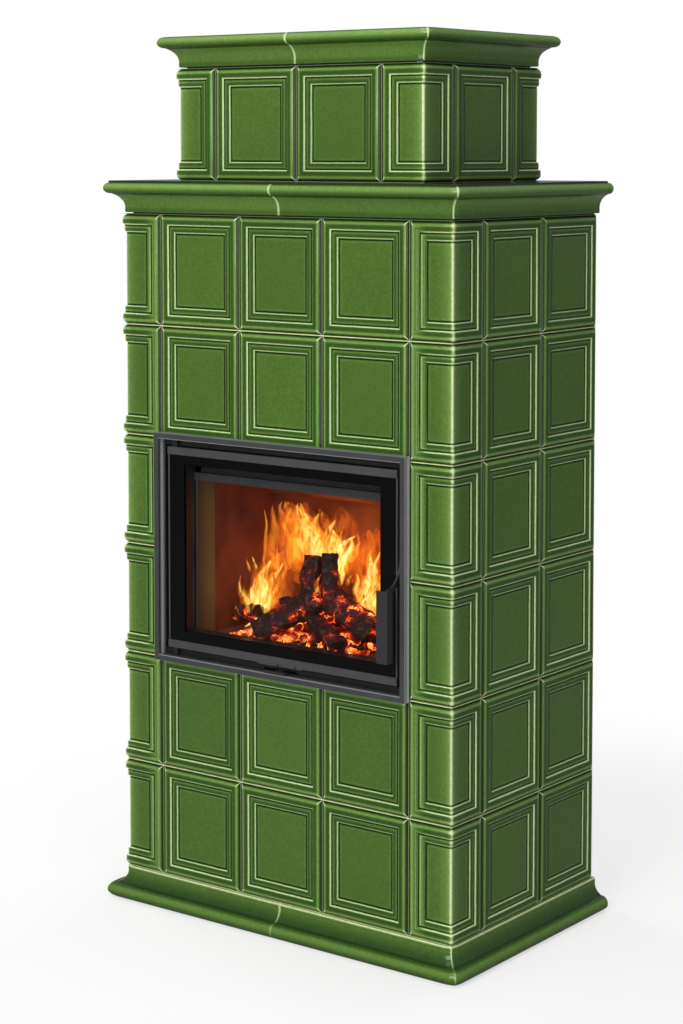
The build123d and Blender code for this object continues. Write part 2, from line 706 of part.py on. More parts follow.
with BuildPart() as glass_seal:
    z = (GLASS_Z[0] + STILE_INSET, GLASS_Z[1] - STILE_INSET)
    outer = (GLASS_X - STILE_INSET, *z)
    inner = (GLASS_X - STILE_INSET - SEAL_W, z[0] + SEAL_W, z[1] - SEAL_W)
    add(ring(outer, inner, (GLASS_T, STILE_FRONT)))
finish(glass_seal, "glass_seal")

with BuildPart() as door_trims:
    for side in (-1, 1):
        x = sorted((side * (DOOR_X - TRIM_W), side * DOOR_X))
        block(x, (-TRIM_PROUD, STILE_FRONT), (DOOR_Z0 + RAIL_H, DOOR_Z1 - RAIL_H))
finish(door_trims, "door_trims")

FRAME_X = DOOR_X - STILE_INSET
FRAME_LOW, FRAME_HIGH = DOOR_Z0 + STILE_INSET, DOOR_Z1 - STILE_INSET
with BuildPart() as door_frame:
    stile_depth = (STILE_FRONT, STILE_BACK)
    add(
        ring(
            (FRAME_X, FRAME_LOW, FRAME_HIGH),
            (APERTURE_X, APERTURE_Z0, APERTURE_Z1),
            stile_depth,
        )
    )
    # The rebate clears the seal as this edge swings back round the hinge.
    rebate_x = (-FRAME_X, -FRAME_X + HINGE_REBATE_W)
    cut(rebate_x, (STILE_BACK - HINGE_REBATE_T, STILE_BACK), (FRAME_LOW, FRAME_HIGH))
finish(door_frame, "door_frame")

with BuildPart() as rail_screws:
    for x in RAIL_SCREWS_X:
        screw_head(x, -DOOR_PROUD, DOOR_Z0 + RAIL_SCREW_UP, RAIL_SCREW_R)
finish(rail_screws, "rail_screws")

# ==== handle and latch ====


def crossbar(x, depth, z, radius, **options):
    """A round bar along X between two places."""
    with Locations(Location(((x[0] + x[1]) / 2, at(depth), z), (0, 90, 0))):
        return Cylinder(radius, x[1] - x[0], **options)


with BuildPart() as handle_pin:
    crossbar((FRAME_X, PLATE_X0 - BEARING_GAP), PIVOT_DEPTH, PIVOT_Z, COLLAR_R)
    crossbar((PLATE_X0 - BEARING_GAP, PLATE_X1 + BEARING_GAP), PIVOT_DEPTH, PIVOT_Z, PIVOT_R)
    crossbar((PLATE_X1 + BEARING_GAP, PLATE_X1 + BEARING_GAP + HEAD_T), PIVOT_DEPTH, PIVOT_Z, PIN_HEAD_R)
finish(handle_pin, "handle_pin")


def handle_outline():
    """The side plate of the handle. X is the depth, Y the height over the pivot."""
    drop = ARM_RISE - ARM_DROP
    root = (-ARM_ROOT_OUT, ARM_RISE - ARM_ROOT_H)
    heel = (GRIP_SIDE_D - GRIP_OUT, drop - ARM_HEEL)
    with BuildSketch() as outline:
        with BuildLine():
            quarter = EllipticalCenterArc(
                (-GRIP_OUT, ARM_RISE), GRIP_OUT - GRIP_EDGE, ARM_DROP, start_angle=270, arc_size=90
            )
            Polyline(quarter @ 1, (PIVOT_DEPTH, HUB_R), (PIVOT_DEPTH, -HUB_R), root)
            ThreePointArc(root, (-ARM_WAIST[0], drop - ARM_WAIST[1]), heel)
            Polyline(
                heel,
                (GRIP_SIDE_D - GRIP_OUT, drop - PLATE_T - GRIP_H),
                (-GRIP_OUT, drop - PLATE_T - GRIP_H),
                quarter @ 0,
            )
        make_face()
        with Locations((PIVOT_DEPTH, 0)):
            Circle(HUB_R)
        with Locations((PIVOT_DEPTH + TAIL_L / 2, 0)):
            Rectangle(TAIL_L, 2 * TAIL_HALF_H)
    return outline.sketch


with BuildPart() as door_handle:
    plate_plane = Plane(origin=(PLATE_X0, FRONT_Y, PIVOT_Z), x_dir=(0, 1, 0), z_dir=(1, 0, 0))
    with BuildSketch(plate_plane):
        add(handle_outline())
    extrude(amount=PLATE_T)
    block(
        (PLATE_X1 - GRIP_FRONT_W, PLATE_X1),
        (-GRIP_OUT, -GRIP_OUT + PLATE_T),
        (GRIP_TOP - GRIP_H, GRIP_TOP),
    )
    crossbar((PLATE_X0, PLATE_X1), PIVOT_DEPTH, PIVOT_Z, PIVOT_R + RUN_GAP, mode=Mode.SUBTRACT)
finish(door_handle, "door_handle")

with BuildPart() as latch_pin:
    crossbar((PLATE_X0 - BEARING_GAP - HEAD_T, PLATE_X0 - BEARING_GAP), ROLLER_DEPTH, ROLLER_Z, PIVOT_R)
    crossbar((PLATE_X0 - BEARING_GAP, SURROUND_IN_X), ROLLER_DEPTH, ROLLER_Z, ROLLER_PIN_R)
finish(latch_pin, "latch_pin")

with BuildPart() as latch_roller:
    crossbar((PLATE_X0, PLATE_X1), ROLLER_DEPTH, ROLLER_Z, ROLLER_R)
    crossbar((PLATE_X0, PLATE_X1), ROLLER_DEPTH, ROLLER_Z, ROLLER_PIN_R + RUN_GAP, mode=Mode.SUBTRACT)
finish(latch_roller, "latch_roller")

# ==== firebox ====

with BuildPart() as firebox_front:
    depth = (BOX_FRONT_DEPTH, BOX_IN)
    add(ring((IN_X + FRAME_LEG_T, IN_Z0, IN_Z1), (APERTURE_X, APERTURE_Z0, APERTURE_Z1), depth))
    reach = SHANK_W / 2 + AIR_TRAVEL + AIR_SLOT_GAP
    cut((-reach, reach), depth, (AIR_Z0 - AIR_SLOT_GAP, AIR_Z1 + AIR_SLOT_GAP))
finish(firebox_front, "firebox_front")

with BuildPart() as door_seal:
    depth = (STILE_BACK, BOX_FRONT_DEPTH)
    inner = (APERTURE_X + SEAL_INSET, APERTURE_Z0 - SEAL_INSET, APERTURE_Z1 + SEAL_INSET)
    outer = (inner[0] + SEAL_W, inner[1] - SEAL_W, inner[2] + SEAL_W)
    add(ring(outer, inner, depth))
finish(door_seal, "door_seal")

GRATE_D = (GRATE_DEPTH - GRATE_W / 2, GRATE_DEPTH + GRATE_W / 2)
with BuildPart() as firebox_shell:
    outside = BOX_SIDE_X + STEEL_T
    for side in (-1, 1):
        x = sorted((side * BOX_SIDE_X, side * outside))
        block(x, (BOX_IN, BOX_BACK + STEEL_T), (FLOOR_Z - STEEL_T, BOX_TOP))
    block((-BOX_SIDE_X, BOX_SIDE_X), (BOX_BACK, BOX_BACK + STEEL_T), (FLOOR_Z - STEEL_T, BOX_TOP))
    block((-BOX_SIDE_X, BOX_SIDE_X), (BOX_IN, BOX_BACK), (FLOOR_Z - STEEL_T, FLOOR_Z))
    cut((-GRATE_L / 2, GRATE_L / 2), GRATE_D, (FLOOR_Z - STEEL_T, FLOOR_Z))
    block((-BOX_SIDE_X, BOX_SIDE_X), (BOX_IN, BOX_BACK), (BOX_TOP - STEEL_T, BOX_TOP))
    flue_span = (BOX_TOP - STEEL_T, BOX_TOP)
    upright(0, FLUE_CENTRE_DEPTH, flue_span, FLUE_R, mode=Mode.SUBTRACT)
finish(firebox_shell, "firebox_shell")


def baffle_z(depth):
    """The height of the baffle's underside at a depth."""
    return BAFFLE_FRONT_Z - BAFFLE_SLOPE * (depth - BAFFLE_FRONT_DEPTH)


BAFFLE_PLANE = Plane(
    origin=(0, at(BAFFLE_FRONT_DEPTH), baffle_z(BAFFLE_FRONT_DEPTH)),
    x_dir=(1, 0, 0),
    z_dir=(0, BAFFLE_SLOPE, 1),
)


def lining(x, depth):
    """Fireclay that stands on the floor plate and is cut off under the baffle."""
    with BuildPart() as clay:
        block(x, depth, (FLOOR_Z, BOX_TOP - STEEL_T))
        split(bisect_by=BAFFLE_PLANE, keep=Keep.BOTTOM)
    return clay.part


with BuildPart() as fireclay_sides:
    for side in (-1, 1):
        x = sorted((side * FIREBOX_X, side * BOX_SIDE_X))
        add(lining(x, (CHEEK_BACK, BOX_BACK)))
finish(fireclay_sides, "fireclay_sides")

with BuildPart() as fireclay_back:
    add(lining((-FIREBOX_X, FIREBOX_X), (LINING_BACK, BOX_BACK)))
finish(fireclay_back, "fireclay_back")

with BuildPart() as fireclay_floor:
    block((-FIREBOX_X, FIREBOX_X), (BOX_IN, LINING_BACK), (FLOOR_Z, HEARTH_Z))
    cut((-GRATE_L / 2, GRATE_L / 2), GRATE_D, (FLOOR_Z, HEARTH_Z))
finish(fireclay_floor, "fireclay_floor")

with BuildPart() as firebox_cheeks:
    for side in (-1, 1):
        x = sorted((side * FIREBOX_X, side * BOX_SIDE_X))
        add(lining(x, (BOX_IN, CHEEK_BACK)))
finish(firebox_cheeks, "firebox_cheeks")

with BuildPart() as baffle_plate:
    tilt = atan(BAFFLE_SLOPE)
    half_x = BOX_SIDE_X - BEARING_GAP
    length = (BOX_BACK - BEARING_GAP - BAFFLE_FRONT_DEPTH - BAFFLE_T * sin(tilt)) / cos(tilt)
    with BuildSketch(BAFFLE_PLANE):
        with Locations((0, length / 2)):
            Rectangle(2 * half_x, length)
    extrude(amount=BAFFLE_T)
finish(baffle_plate, "baffle_plate")

with BuildPart() as air_deflector:
    x = (DEFLECTOR_END_GAP - FIREBOX_X, FIREBOX_X - DEFLECTOR_END_GAP)
    lip = BOX_IN + DEFLECTOR_FLANGE
    flange_z = APERTURE_Z1 + DEFLECTOR_UP
    bar_z = (APERTURE_Z1 - DEFLECTOR_DROP, APERTURE_Z1 - DEFLECTOR_DROP + DEFLECTOR_BAR_H)
    block((-APERTURE_X, APERTURE_X), (BOX_FRONT_DEPTH, BOX_FRONT_DEPTH + DEFLECTOR_T), bar_z)
    block(x, (BOX_FRONT_DEPTH, lip), (bar_z[1] - DEFLECTOR_T, bar_z[1]))
    block(x, (lip - DEFLECTOR_T, lip), (bar_z[1] - DEFLECTOR_T, flange_z))
    block(x, (BOX_IN, lip), (flange_z, flange_z + DEFLECTOR_T))
finish(air_deflector, "air_deflector")

# ==== grate, ash chamber and ash pan ====

ASH_X = GRATE_L / 2
with BuildPart() as cast_grate:
    x = GRATE_L / 2 - GRATE_GAP
    d = (GRATE_D[0] + GRATE_GAP, GRATE_D[1] - GRATE_GAP)
    block((-x, x), d, (GRATE_Z0, HEARTH_Z))
    pitch = 2 * (x - GRATE_RIM) / GRATE_SLOTS
    with Locations((0, at(GRATE_DEPTH), (GRATE_Z0 + HEARTH_Z) / 2)):
        with GridLocations(pitch, 1, GRATE_SLOTS, 1):
            Box(GRATE_SLOT_W, GRATE_W - 2 * GRATE_RIM, GRATE_T, mode=Mode.SUBTRACT)
finish(cast_grate, "cast_grate")

with BuildPart() as ash_chamber:
    block((-ASH_X, ASH_X), GRATE_D, (ASH_Z0, GRATE_Z0))
    x, d = ASH_X - ASH_T, (GRATE_D[0] + ASH_T, GRATE_D[1] - ASH_T)
    cut((-x, x), d, (ASH_Z0 + ASH_T, GRATE_Z0))
finish(ash_chamber, "ash_chamber")

with BuildPart() as ash_pan:
    x = ASH_X - ASH_T - ASH_PAN_GAP
    d = (GRATE_D[0] + ASH_T + ASH_PAN_GAP, GRATE_D[1] - ASH_T - ASH_PAN_GAP)
    z0 = ASH_Z0 + ASH_T
    block((-x, x), d, (z0, z0 + ASH_PAN_H))
    cut((-x + ASH_T, x - ASH_T), (d[0] + ASH_T, d[1] - ASH_T), (z0 + ASH_T, z0 + ASH_PAN_H))
finish(ash_pan, "ash_pan")

with BuildPart() as firewood:
    bed = HEARTH_Z + LOG_R
    rise = ((2 * LOG_R + LOG_GAP) ** 2 - LOG_BACK**2) ** 0.5
    for depth, z, shift in (
        (GRATE_DEPTH - LOG_BACK, bed, -LOG_SHIFT),
        (GRATE_DEPTH + LOG_BACK, bed, LOG_SHIFT),
        (GRATE_DEPTH, bed + rise, 0),
    ):
        crossbar((shift - LOG_L / 2, shift + LOG_L / 2), depth, z, LOG_R)
finish(firewood, "firewood")

# ==== air slide ====

with BuildPart() as air_lever:
    block((-SHANK_W / 2, SHANK_W / 2), (-TAB_OUT + TAB_L, AIR_PLATE_DEPTH), (AIR_Z0, AIR_Z1))
    block((-TAB_W / 2, TAB_W / 2), (-TAB_OUT, -TAB_OUT + TAB_L), (AIR_Z0, AIR_Z1))
finish(air_lever, "air_lever")

with BuildPart() as air_plate:
    block(
        (-AIR_PLATE_W / 2, AIR_PLATE_W / 2),
        (AIR_PLATE_DEPTH, AIR_PLATE_DEPTH + AIR_PLATE_L),
        (AIR_Z0, AIR_Z1),
    )
finish(air_plate, "air_plate")

with BuildPart() as air_guide:
    half = AIR_PLATE_W / 2 + AIR_TRAVEL + AIR_SLOT_GAP
    shelf = (AIR_Z0 - AIR_GAP - AIR_T, AIR_Z0 - AIR_GAP)
    end = AIR_PLATE_DEPTH + AIR_PLATE_L + AIR_SLOT_GAP
    block((-half - AIR_T, half + AIR_T), (BOX_IN, end + AIR_T), shelf)
    for x in ((-half - AIR_T, -half), (half, half + AIR_T)):
        block(x, (BOX_IN, end + AIR_T), (shelf[1], FLOOR_Z - STEEL_T))
    block((-half, half), (end, end + AIR_T), (shelf[1], FLOOR_Z - STEEL_T))
finish(air_guide, "air_guide")

# ==== flue, back and support ====

with BuildPart() as flue_duct:
    foot = Vector(0, at(FLUE_CENTRE_DEPTH), BOX_TOP)
    knee = Vector(0, at(FLUE_CENTRE_DEPTH), FLUE_Z - FLUE_BEND_R)
    heel = Vector(0, at(FLUE_CENTRE_DEPTH + FLUE_BEND_R), FLUE_Z)
    mouth = Vector(0, BACK_Y, FLUE_Z)
    with BuildLine() as flue_path:
        Line(foot, knee)
        TangentArc(knee, heel, tangent=(0, 0, 1))
        Line(heel, mouth)
    with BuildSketch(Plane.XY.offset(BOX_TOP)):
        with Locations((foot.X, foot.Y)):
            Circle(FLUE_R + FLUE_T)
            Circle(FLUE_R, mode=Mode.SUBTRACT)
    sweep(path=flue_path.line)
finish(flue_duct, "flue_duct")

FLUE_HOLE_R = FLUE_R + FLUE_T + FLUE_SEAT_GAP
PANEL_X = SIDE_X - TILE_DEPTH
with BuildPart() as rear_panel:
    block((-PANEL_X, PANEL_X), (BODY_D - PANEL_T, BODY_D), (0, BODY_TOP + CORNICE_H))
    with Locations(Location((0, BACK_Y - PANEL_T / 2, FLUE_Z), (90, 0, 0))):
        Cylinder(FLUE_HOLE_R, PANEL_T, mode=Mode.SUBTRACT)
finish(rear_panel, "rear_panel")

with BuildPart() as rear_insulation:
    depth = (BODY_D - PANEL_T - INSULATION_T, BODY_D - PANEL_T)
    block((-INSULATION_W / 2, INSULATION_W / 2), depth, (INSULATION_LOW, BODY_TOP - INSULATION_BELOW_TOP))
    with Locations(Location((0, at((depth[0] + depth[1]) / 2), FLUE_Z), (90, 0, 0))):
        Cylinder(FLUE_R + FLUE_T + FLUE_GAP, INSULATION_T, mode=Mode.SUBTRACT)
finish(rear_insulation, "rear_insulation")

with BuildPart() as support_frame:
    beam_top = FLOOR_Z - STEEL_T
    beam = (TILE_DEPTH + LEG_INSET, BOX_BACK + STEEL_T)
    leg_depths = (beam[0], beam[1] - LEG_T)
    for side in (-1, 1):
        x = sorted((side * (BOX_SIDE_X + STEEL_T - LEG_T), side * (BOX_SIDE_X + STEEL_T)))
        block(x, beam, (beam_top - LEG_T, beam_top))
        for d in leg_depths:
            block(x, (d, d + LEG_T), (0, beam_top - LEG_T))
finish(support_frame, "support_frame")
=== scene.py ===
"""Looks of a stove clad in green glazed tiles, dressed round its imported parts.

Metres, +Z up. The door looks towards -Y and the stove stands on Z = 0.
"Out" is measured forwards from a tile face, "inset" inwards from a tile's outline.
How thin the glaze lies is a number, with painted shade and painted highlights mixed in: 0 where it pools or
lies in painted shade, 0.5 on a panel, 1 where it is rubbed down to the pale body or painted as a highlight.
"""

import logging
import random
from contextlib import contextmanager
from dataclasses import dataclass, field
from enum import Enum
from math import cos, hypot, pi, radians, sin, sqrt
from typing import Callable, Iterator, Sequence

import bmesh
import bpy
from mathutils import Matrix, Vector

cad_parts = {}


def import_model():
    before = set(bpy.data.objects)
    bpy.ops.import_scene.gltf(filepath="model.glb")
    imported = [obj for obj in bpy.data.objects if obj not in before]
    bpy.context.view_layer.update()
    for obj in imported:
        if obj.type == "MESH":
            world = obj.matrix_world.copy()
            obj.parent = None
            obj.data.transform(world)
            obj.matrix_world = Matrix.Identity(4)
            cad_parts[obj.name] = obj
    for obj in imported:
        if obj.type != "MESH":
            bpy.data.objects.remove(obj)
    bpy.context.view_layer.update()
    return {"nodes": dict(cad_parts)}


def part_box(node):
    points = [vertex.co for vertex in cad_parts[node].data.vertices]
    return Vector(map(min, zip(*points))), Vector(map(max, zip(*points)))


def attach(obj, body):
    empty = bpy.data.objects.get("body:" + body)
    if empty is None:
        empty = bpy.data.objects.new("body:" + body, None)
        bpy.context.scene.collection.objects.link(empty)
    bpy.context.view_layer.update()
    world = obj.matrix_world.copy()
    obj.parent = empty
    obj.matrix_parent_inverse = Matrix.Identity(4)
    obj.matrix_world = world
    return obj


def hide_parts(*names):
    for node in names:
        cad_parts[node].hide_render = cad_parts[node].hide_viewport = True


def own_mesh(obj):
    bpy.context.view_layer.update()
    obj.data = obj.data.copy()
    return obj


log = logging.getLogger("stove")
Piece = bpy.types.Object
Finish = bpy.types.Material
Socket = bpy.types.NodeSocket
Colour = tuple[float, float, float]
Shade = tuple[float, float, float, float]
Point = Sequence[float]
Section = list[tuple[float, float, float]]
Cut = tuple[Point, Point, bool]
Test = Callable[[Vector, Vector], bool]
Rule = Callable[[Vector], float]

MM = 0.001
FULL_TURN = 6.28
WHITE = (1, 1, 1, 1)
BLACK = (0, 0, 0, 1)


# ---- small tools of the bench ----


def paint(red: float, green: float, blue: float) -> Shade:
    """A linear colour with full cover, mixed from screen values of 0 to 255."""
    screen = (red / 255, green / 255, blue / 255)
    return (*(c / 12.92 if c <= 0.04045 else ((c + 0.055) / 1.055) ** 2.4 for c in screen), 1.0)


def put_down() -> None:
    """Leave edit mode and select nothing."""
    if bpy.context.object and bpy.context.object.mode != "OBJECT":
        bpy.ops.object.mode_set(mode="OBJECT")
    bpy.ops.object.select_all(action="DESELECT")


def pick_up(*pieces: Piece) -> None:
    """Select only these pieces.

    Args:
        pieces: The pieces; the first one is the active one.
    """
    put_down()
    for piece in pieces:
        piece.select_set(True)
    bpy.context.view_layer.objects.active = pieces[0]


@contextmanager
def shaping(piece: Piece, kind: str = "FACE") -> Iterator["Bench"]:
    """Work on a piece in edit mode.

    Args:
        piece: The piece to shape.
        kind: What is selected: VERT, EDGE or FACE.

    Yields:
        The bench that holds the piece.
    """
    pick_up(piece)
    bpy.ops.object.mode_set(mode="EDIT")
    bpy.ops.mesh.select_mode(type=kind)
    bpy.ops.mesh.select_all(action="DESELECT")
    yield Bench(piece)
    put_down()


class Bench:
    """The piece in edit mode, and what can be done to it."""

    def __init__(self, piece: Piece) -> None:
        """Hold a piece that is already in edit mode."""
        self.piece = piece

    def mesh(self) -> bmesh.types.BMesh:
        """The mesh in hand."""
        return bmesh.from_edit_mesh(self.piece.data)

    def faces(self, test: Test) -> None:
        """Select faces.

        Args:
            test: What a face's centre and normal have to pass.
        """
        mesh = self.mesh()
        for face in mesh.faces:
            face.select_set(bool(test(face.calc_center_median(), face.normal)))
        bmesh.update_edit_mesh(self.piece.data)

    def edges(self, test: Test) -> None:
        """Select edges.

        Args:
            test: What an edge's two ends have to pass.
        """
        mesh = self.mesh()
        for edge in mesh.edges:
            edge.select_set(False)
        for edge in mesh.edges:
            if test(edge.verts[0].co, edge.verts[1].co):
                edge.select_set(True)
        bmesh.update_edit_mesh(self.piece.data)

    def inset(self, width: float, rise: float = 0.0) -> None:
        """Inset the selected faces by a width and raise what is inside."""
        bpy.ops.mesh.inset(thickness=width, depth=rise, use_even_offset=True)

    def extrude(self, move: Point) -> None:
        """Pull the selection out along a vector."""
        bpy.ops.mesh.extrude_region_move(TRANSFORM_OT_translate={"value": tuple(move)})

    def bevel(self, width: float, steps: int) -> None:
        """Round the selected edges."""
        bpy.ops.mesh.bevel(offset=width, segments=steps, profile=0.5, affect="EDGES")

    def saw(self, point: Point, normal: Point, part: bool = False) -> None:
        """Cut all of the piece along a plane.

        Args:
            point: A point on the plane.
            normal: The side of the plane that goes where part is set.
            part: Remove what lies on the normal's side and close the cut.
        """
        bpy.ops.mesh.select_all(action="SELECT")
        bpy.ops.mesh.bisect(
            plane_co=tuple(point), plane_no=tuple(normal), use_fill=part, clear_outer=part, threshold=1e-6
        )

    def weld(self, near: float = 1e-5) -> None:
        """Merge what lies together and turn all faces outwards.

        Args:
            near: How near two points have to be.
        """
        bpy.ops.mesh.select_all(action="SELECT")
        bpy.ops.mesh.remove_doubles(threshold=near)
        bpy.ops.mesh.normals_make_consistent(inside=False)


def box(name: str, low: Point, high: Point) -> Piece:
    """A box, ready to be shaped.

    Args:
        name: The piece's name.
        low: Lowest corner.
        high: Highest corner.

    Returns:
        The box, with its place in its mesh.
    """
    put_down()
    middle = [(a + b) / 2 for a, b in zip(low, high)]
    bpy.ops.mesh.primitive_cube_add(size=1, location=middle, scale=[b - a for a, b in zip(low, high)])
    return settle(bpy.context.object, name)


def settle(piece: Piece, name: str) -> Piece:
    """Name a piece and put its place into its mesh.

    Args:
        piece: The piece.
        name: Its name.

    Returns:
        The same piece.
    """
    pick_up(piece)
    piece.name = piece.data.name = name
    bpy.ops.object.transform_apply(location=True, rotation=True, scale=True)
    return piece


def again(pattern: Piece, place: Matrix) -> Piece:
    """Copy a pattern.

    Args:
        pattern: The pattern.
        place: Where the copy goes.

    Returns:
        The copy, with a mesh of its own.
    """
    piece = pattern.copy()
    piece.data = pattern.data.copy()
    piece.data.transform(place)
    if place.determinant() < 0:
        piece.data.flip_normals()
    bpy.context.scene.collection.objects.link(piece)
    return piece


def joined(name: str, pieces: Sequence[Piece]) -> Piece:
    """Make several pieces one.

    Args:
        name: The new piece's name.
        pieces: The pieces.

    Returns:
        The new piece.
    """
    pick_up(*pieces)
    if len(pieces) > 1:
        bpy.ops.object.join()
    return settle(bpy.context.object, name)


def smooth(piece: Piece, angle: float = 32.0) -> None:
    """Shade a piece smoothly, but for edges sharper than an angle in degrees."""
    pick_up(piece)
    bpy.ops.object.shade_smooth_by_angle(angle=radians(angle))


def coat(piece: Piece, finish: Finish | None) -> None:
    """Give all of a piece one finish."""
    piece.data.materials.clear()
    piece.data.materials.append(finish)


def drop(*patterns: Piece) -> None:
    """Throw patterns away."""
    for pattern in patterns:
        bpy.data.objects.remove(pattern, do_unlink=True)


def mark(piece: Piece, name: str, rule: Rule) -> None:
    """Write a number on every point of a piece, for its finish to read.

    Args:
        piece: The piece.
        name: What the number is called.
        rule: The number at a point.
    """
    data = piece.data
    layer = data.attributes.get(name) or data.attributes.new(name, "FLOAT", "POINT")
    layer.data.foreach_set("value", [rule(v.co) for v in data.vertices])


# ---- recipes of finishes ----


class Nodes:
    """A tree of nodes, and short ways to add to it."""

    def __init__(self, tree: bpy.types.NodeTree) -> None:
        """Start with an empty tree."""
        self.tree = tree
        tree.nodes.clear()

    def node(self, kind: str, inputs: dict | None = None, **settings: object) -> bpy.types.Node:
        """Add a node.

        Args:
            kind: Its type, without the ShaderNode prefix.
            inputs: Values or sockets for its inputs.
            settings: Its own settings.

        Returns:
            The new node.
        """
        node = self.tree.nodes.new("ShaderNode" + kind)
        for key, value in settings.items():
            setattr(node, key, value)
        for key, value in (inputs or {}).items():
            self.feed(node.inputs[key], value)
        return node

    def feed(self, socket: Socket, value: object) -> None:
        """Link a socket, or set its value.

        Args:
            socket: The input to feed.
            value: Another node's output, or a plain value.
        """
        if isinstance(value, Socket):
            self.tree.links.new(value, socket)
        else:
            socket.default_value = value

    def sum(self, kind: str, a: object, b: object = 0.0, c: object = 0.0) -> Socket:
        """Arithmetic on numbers."""
        return self.node("Math", {0: a, 1: b, 2: c}, operation=kind).outputs[0]

    def times(self, a: object, b: object) -> Socket:
        """Two numbers multiplied."""
        return self.sum("MULTIPLY", a, b)

    def scaled(self, value: object, by: float, plus: object) -> Socket:
        """A number times another, with more added."""
        return self.sum("MULTIPLY_ADD", value, by, plus)

    def most(self, a: object, b: object) -> Socket:
        """The greater of two numbers."""
        return self.sum("MAXIMUM", a, b)


class Recipe(Nodes):
    """The nodes of one finish, round a Principled shader."""

    def __init__(self, name: str) -> None:
        """Start an empty finish.

        Args:
            name: The finish's name.
        """
        self.material = bpy.data.materials.new(name)
        self.material.use_nodes = True
        super().__init__(self.material.node_tree)
        self.shader = self.node("BsdfPrincipled")
        self.output = self.node("OutputMaterial", {"Surface": self.shader.outputs[0]})

    def set(self, **inputs: object) -> None:
        """Feed the shader's own inputs, with _ for a space."""
        for key, value in inputs.items():
            self.feed(self.shader.inputs[key.replace("_", " ")], value)

    def place(self) -> Socket:
        """The point on the object, in metres."""
        return self.node("TexCoord").outputs["Object"]

    def axes(self, vector: Socket | None = None) -> Sequence[Socket]:
        """The three parts of a vector, or else of the point on the object."""
        return self.node("SeparateXYZ", {0: vector or self.place()}).outputs

    def moved(self, value: Socket, by: Point) -> Socket:
        """The point on the object, moved by a value times a vector."""
        return self.node("VectorMath", {0: value, 1: by, 2: self.place()}, operation="MULTIPLY_ADD").outputs[0]

    def read(self, name: str) -> Socket:
        """A number that was marked on the mesh."""
        return self.node("Attribute", attribute_name=name).outputs["Fac"]

    def spread(self, value: object, low: float, high: float, start: float = 0.0, end: float = 1.0) -> Socket:
        """Map a number smoothly from the range low to high to the range start to end."""
        ends = dict(enumerate((value, low, high, start, end)))
        return self.node("MapRange", ends, interpolation_type="SMOOTHSTEP").outputs[0]

    def fade(self, value: object, low: float, high: float) -> Socket:
        """1 up to the first number and 0 from the second, with a smooth change between."""
        return self.spread(value, low, high, 1.0, 0.0)

    def noise(self, scale: float, detail: float = 2.0, at: Socket | None = None) -> Socket:
        """Cloudy noise."""
        inputs = {"Scale": scale, "Detail": detail, "Vector": at or self.place()}
        return self.node("TexNoise", inputs).outputs["Fac"]

    def ramp(self, value: object, stops: Sequence[tuple[float, Shade]]) -> Socket:
        """Colours along a number.

        Args:
            value: The number.
            stops: Each colour after the number that it stands at.

        Returns:
            The colour.
        """
        node = self.node("ValToRGB", {0: value})
        ramp = node.color_ramp
        while len(ramp.elements) < len(stops):
            ramp.elements.new(1.0)
        for element, (at, colour) in zip(ramp.elements, stops):
            element.position, element.color = at, colour
        return node.outputs[0]

    def mix(self, share: object, a: object, b: object, kind: str = "MIX") -> Socket:
        """Two colours mixed."""
        return self.node("Mix", {0: share, 6: a, 7: b}, data_type="RGBA", blend_type=kind).outputs[2]

    def shaded(self, colour: object, level: Socket) -> Socket:
        """A colour made lighter or darker by a number."""
        grey = self.node("CombineColor", {0: level, 1: level, 2: level}).outputs[0]
        return self.mix(1.0, colour, grey, "MULTIPLY")

    def bump(self, height: object, depth: float, strength: float = 1.0, under: Socket | None = None) -> Socket:
        """Relief from a height, over other relief where there is any."""
        inputs = {"Height": height, "Distance": depth, "Strength": strength}
        return self.node("Bump", inputs | ({"Normal": under} if under else {})).outputs[0]


# How thin the glaze lies at a distance in mm from a tile's rim, with painted shade in the creases and at the
# joints, and painted highlights on the step arrises
GLAZE_AND_PAINTED_LIGHT = (
    (0.0, 0.04), (2.2, 0.1), (4.2, 0.34), (6.0, 0.62), (9.6, 0.66), (11.8, 0.47), (14.5, 0.33),
    (19.2, 0.36), (20.8, 0.6), (21.7, 0.93), (22.9, 0.93), (23.7, 0.4), (24.5, 0.03), (25.9, 0.1),
    (27.2, 0.5), (29.0, 0.56), (31.0, 0.46), (33.5, 0.33), (36.6, 0.38), (37.3, 0.6), (38.0, 0.88),
    (39.1, 0.88), (39.9, 0.35), (40.9, 0.02), (42.4, 0.06), (44.2, 0.5), (46.0, 0.54), (49.5, 0.5),
)


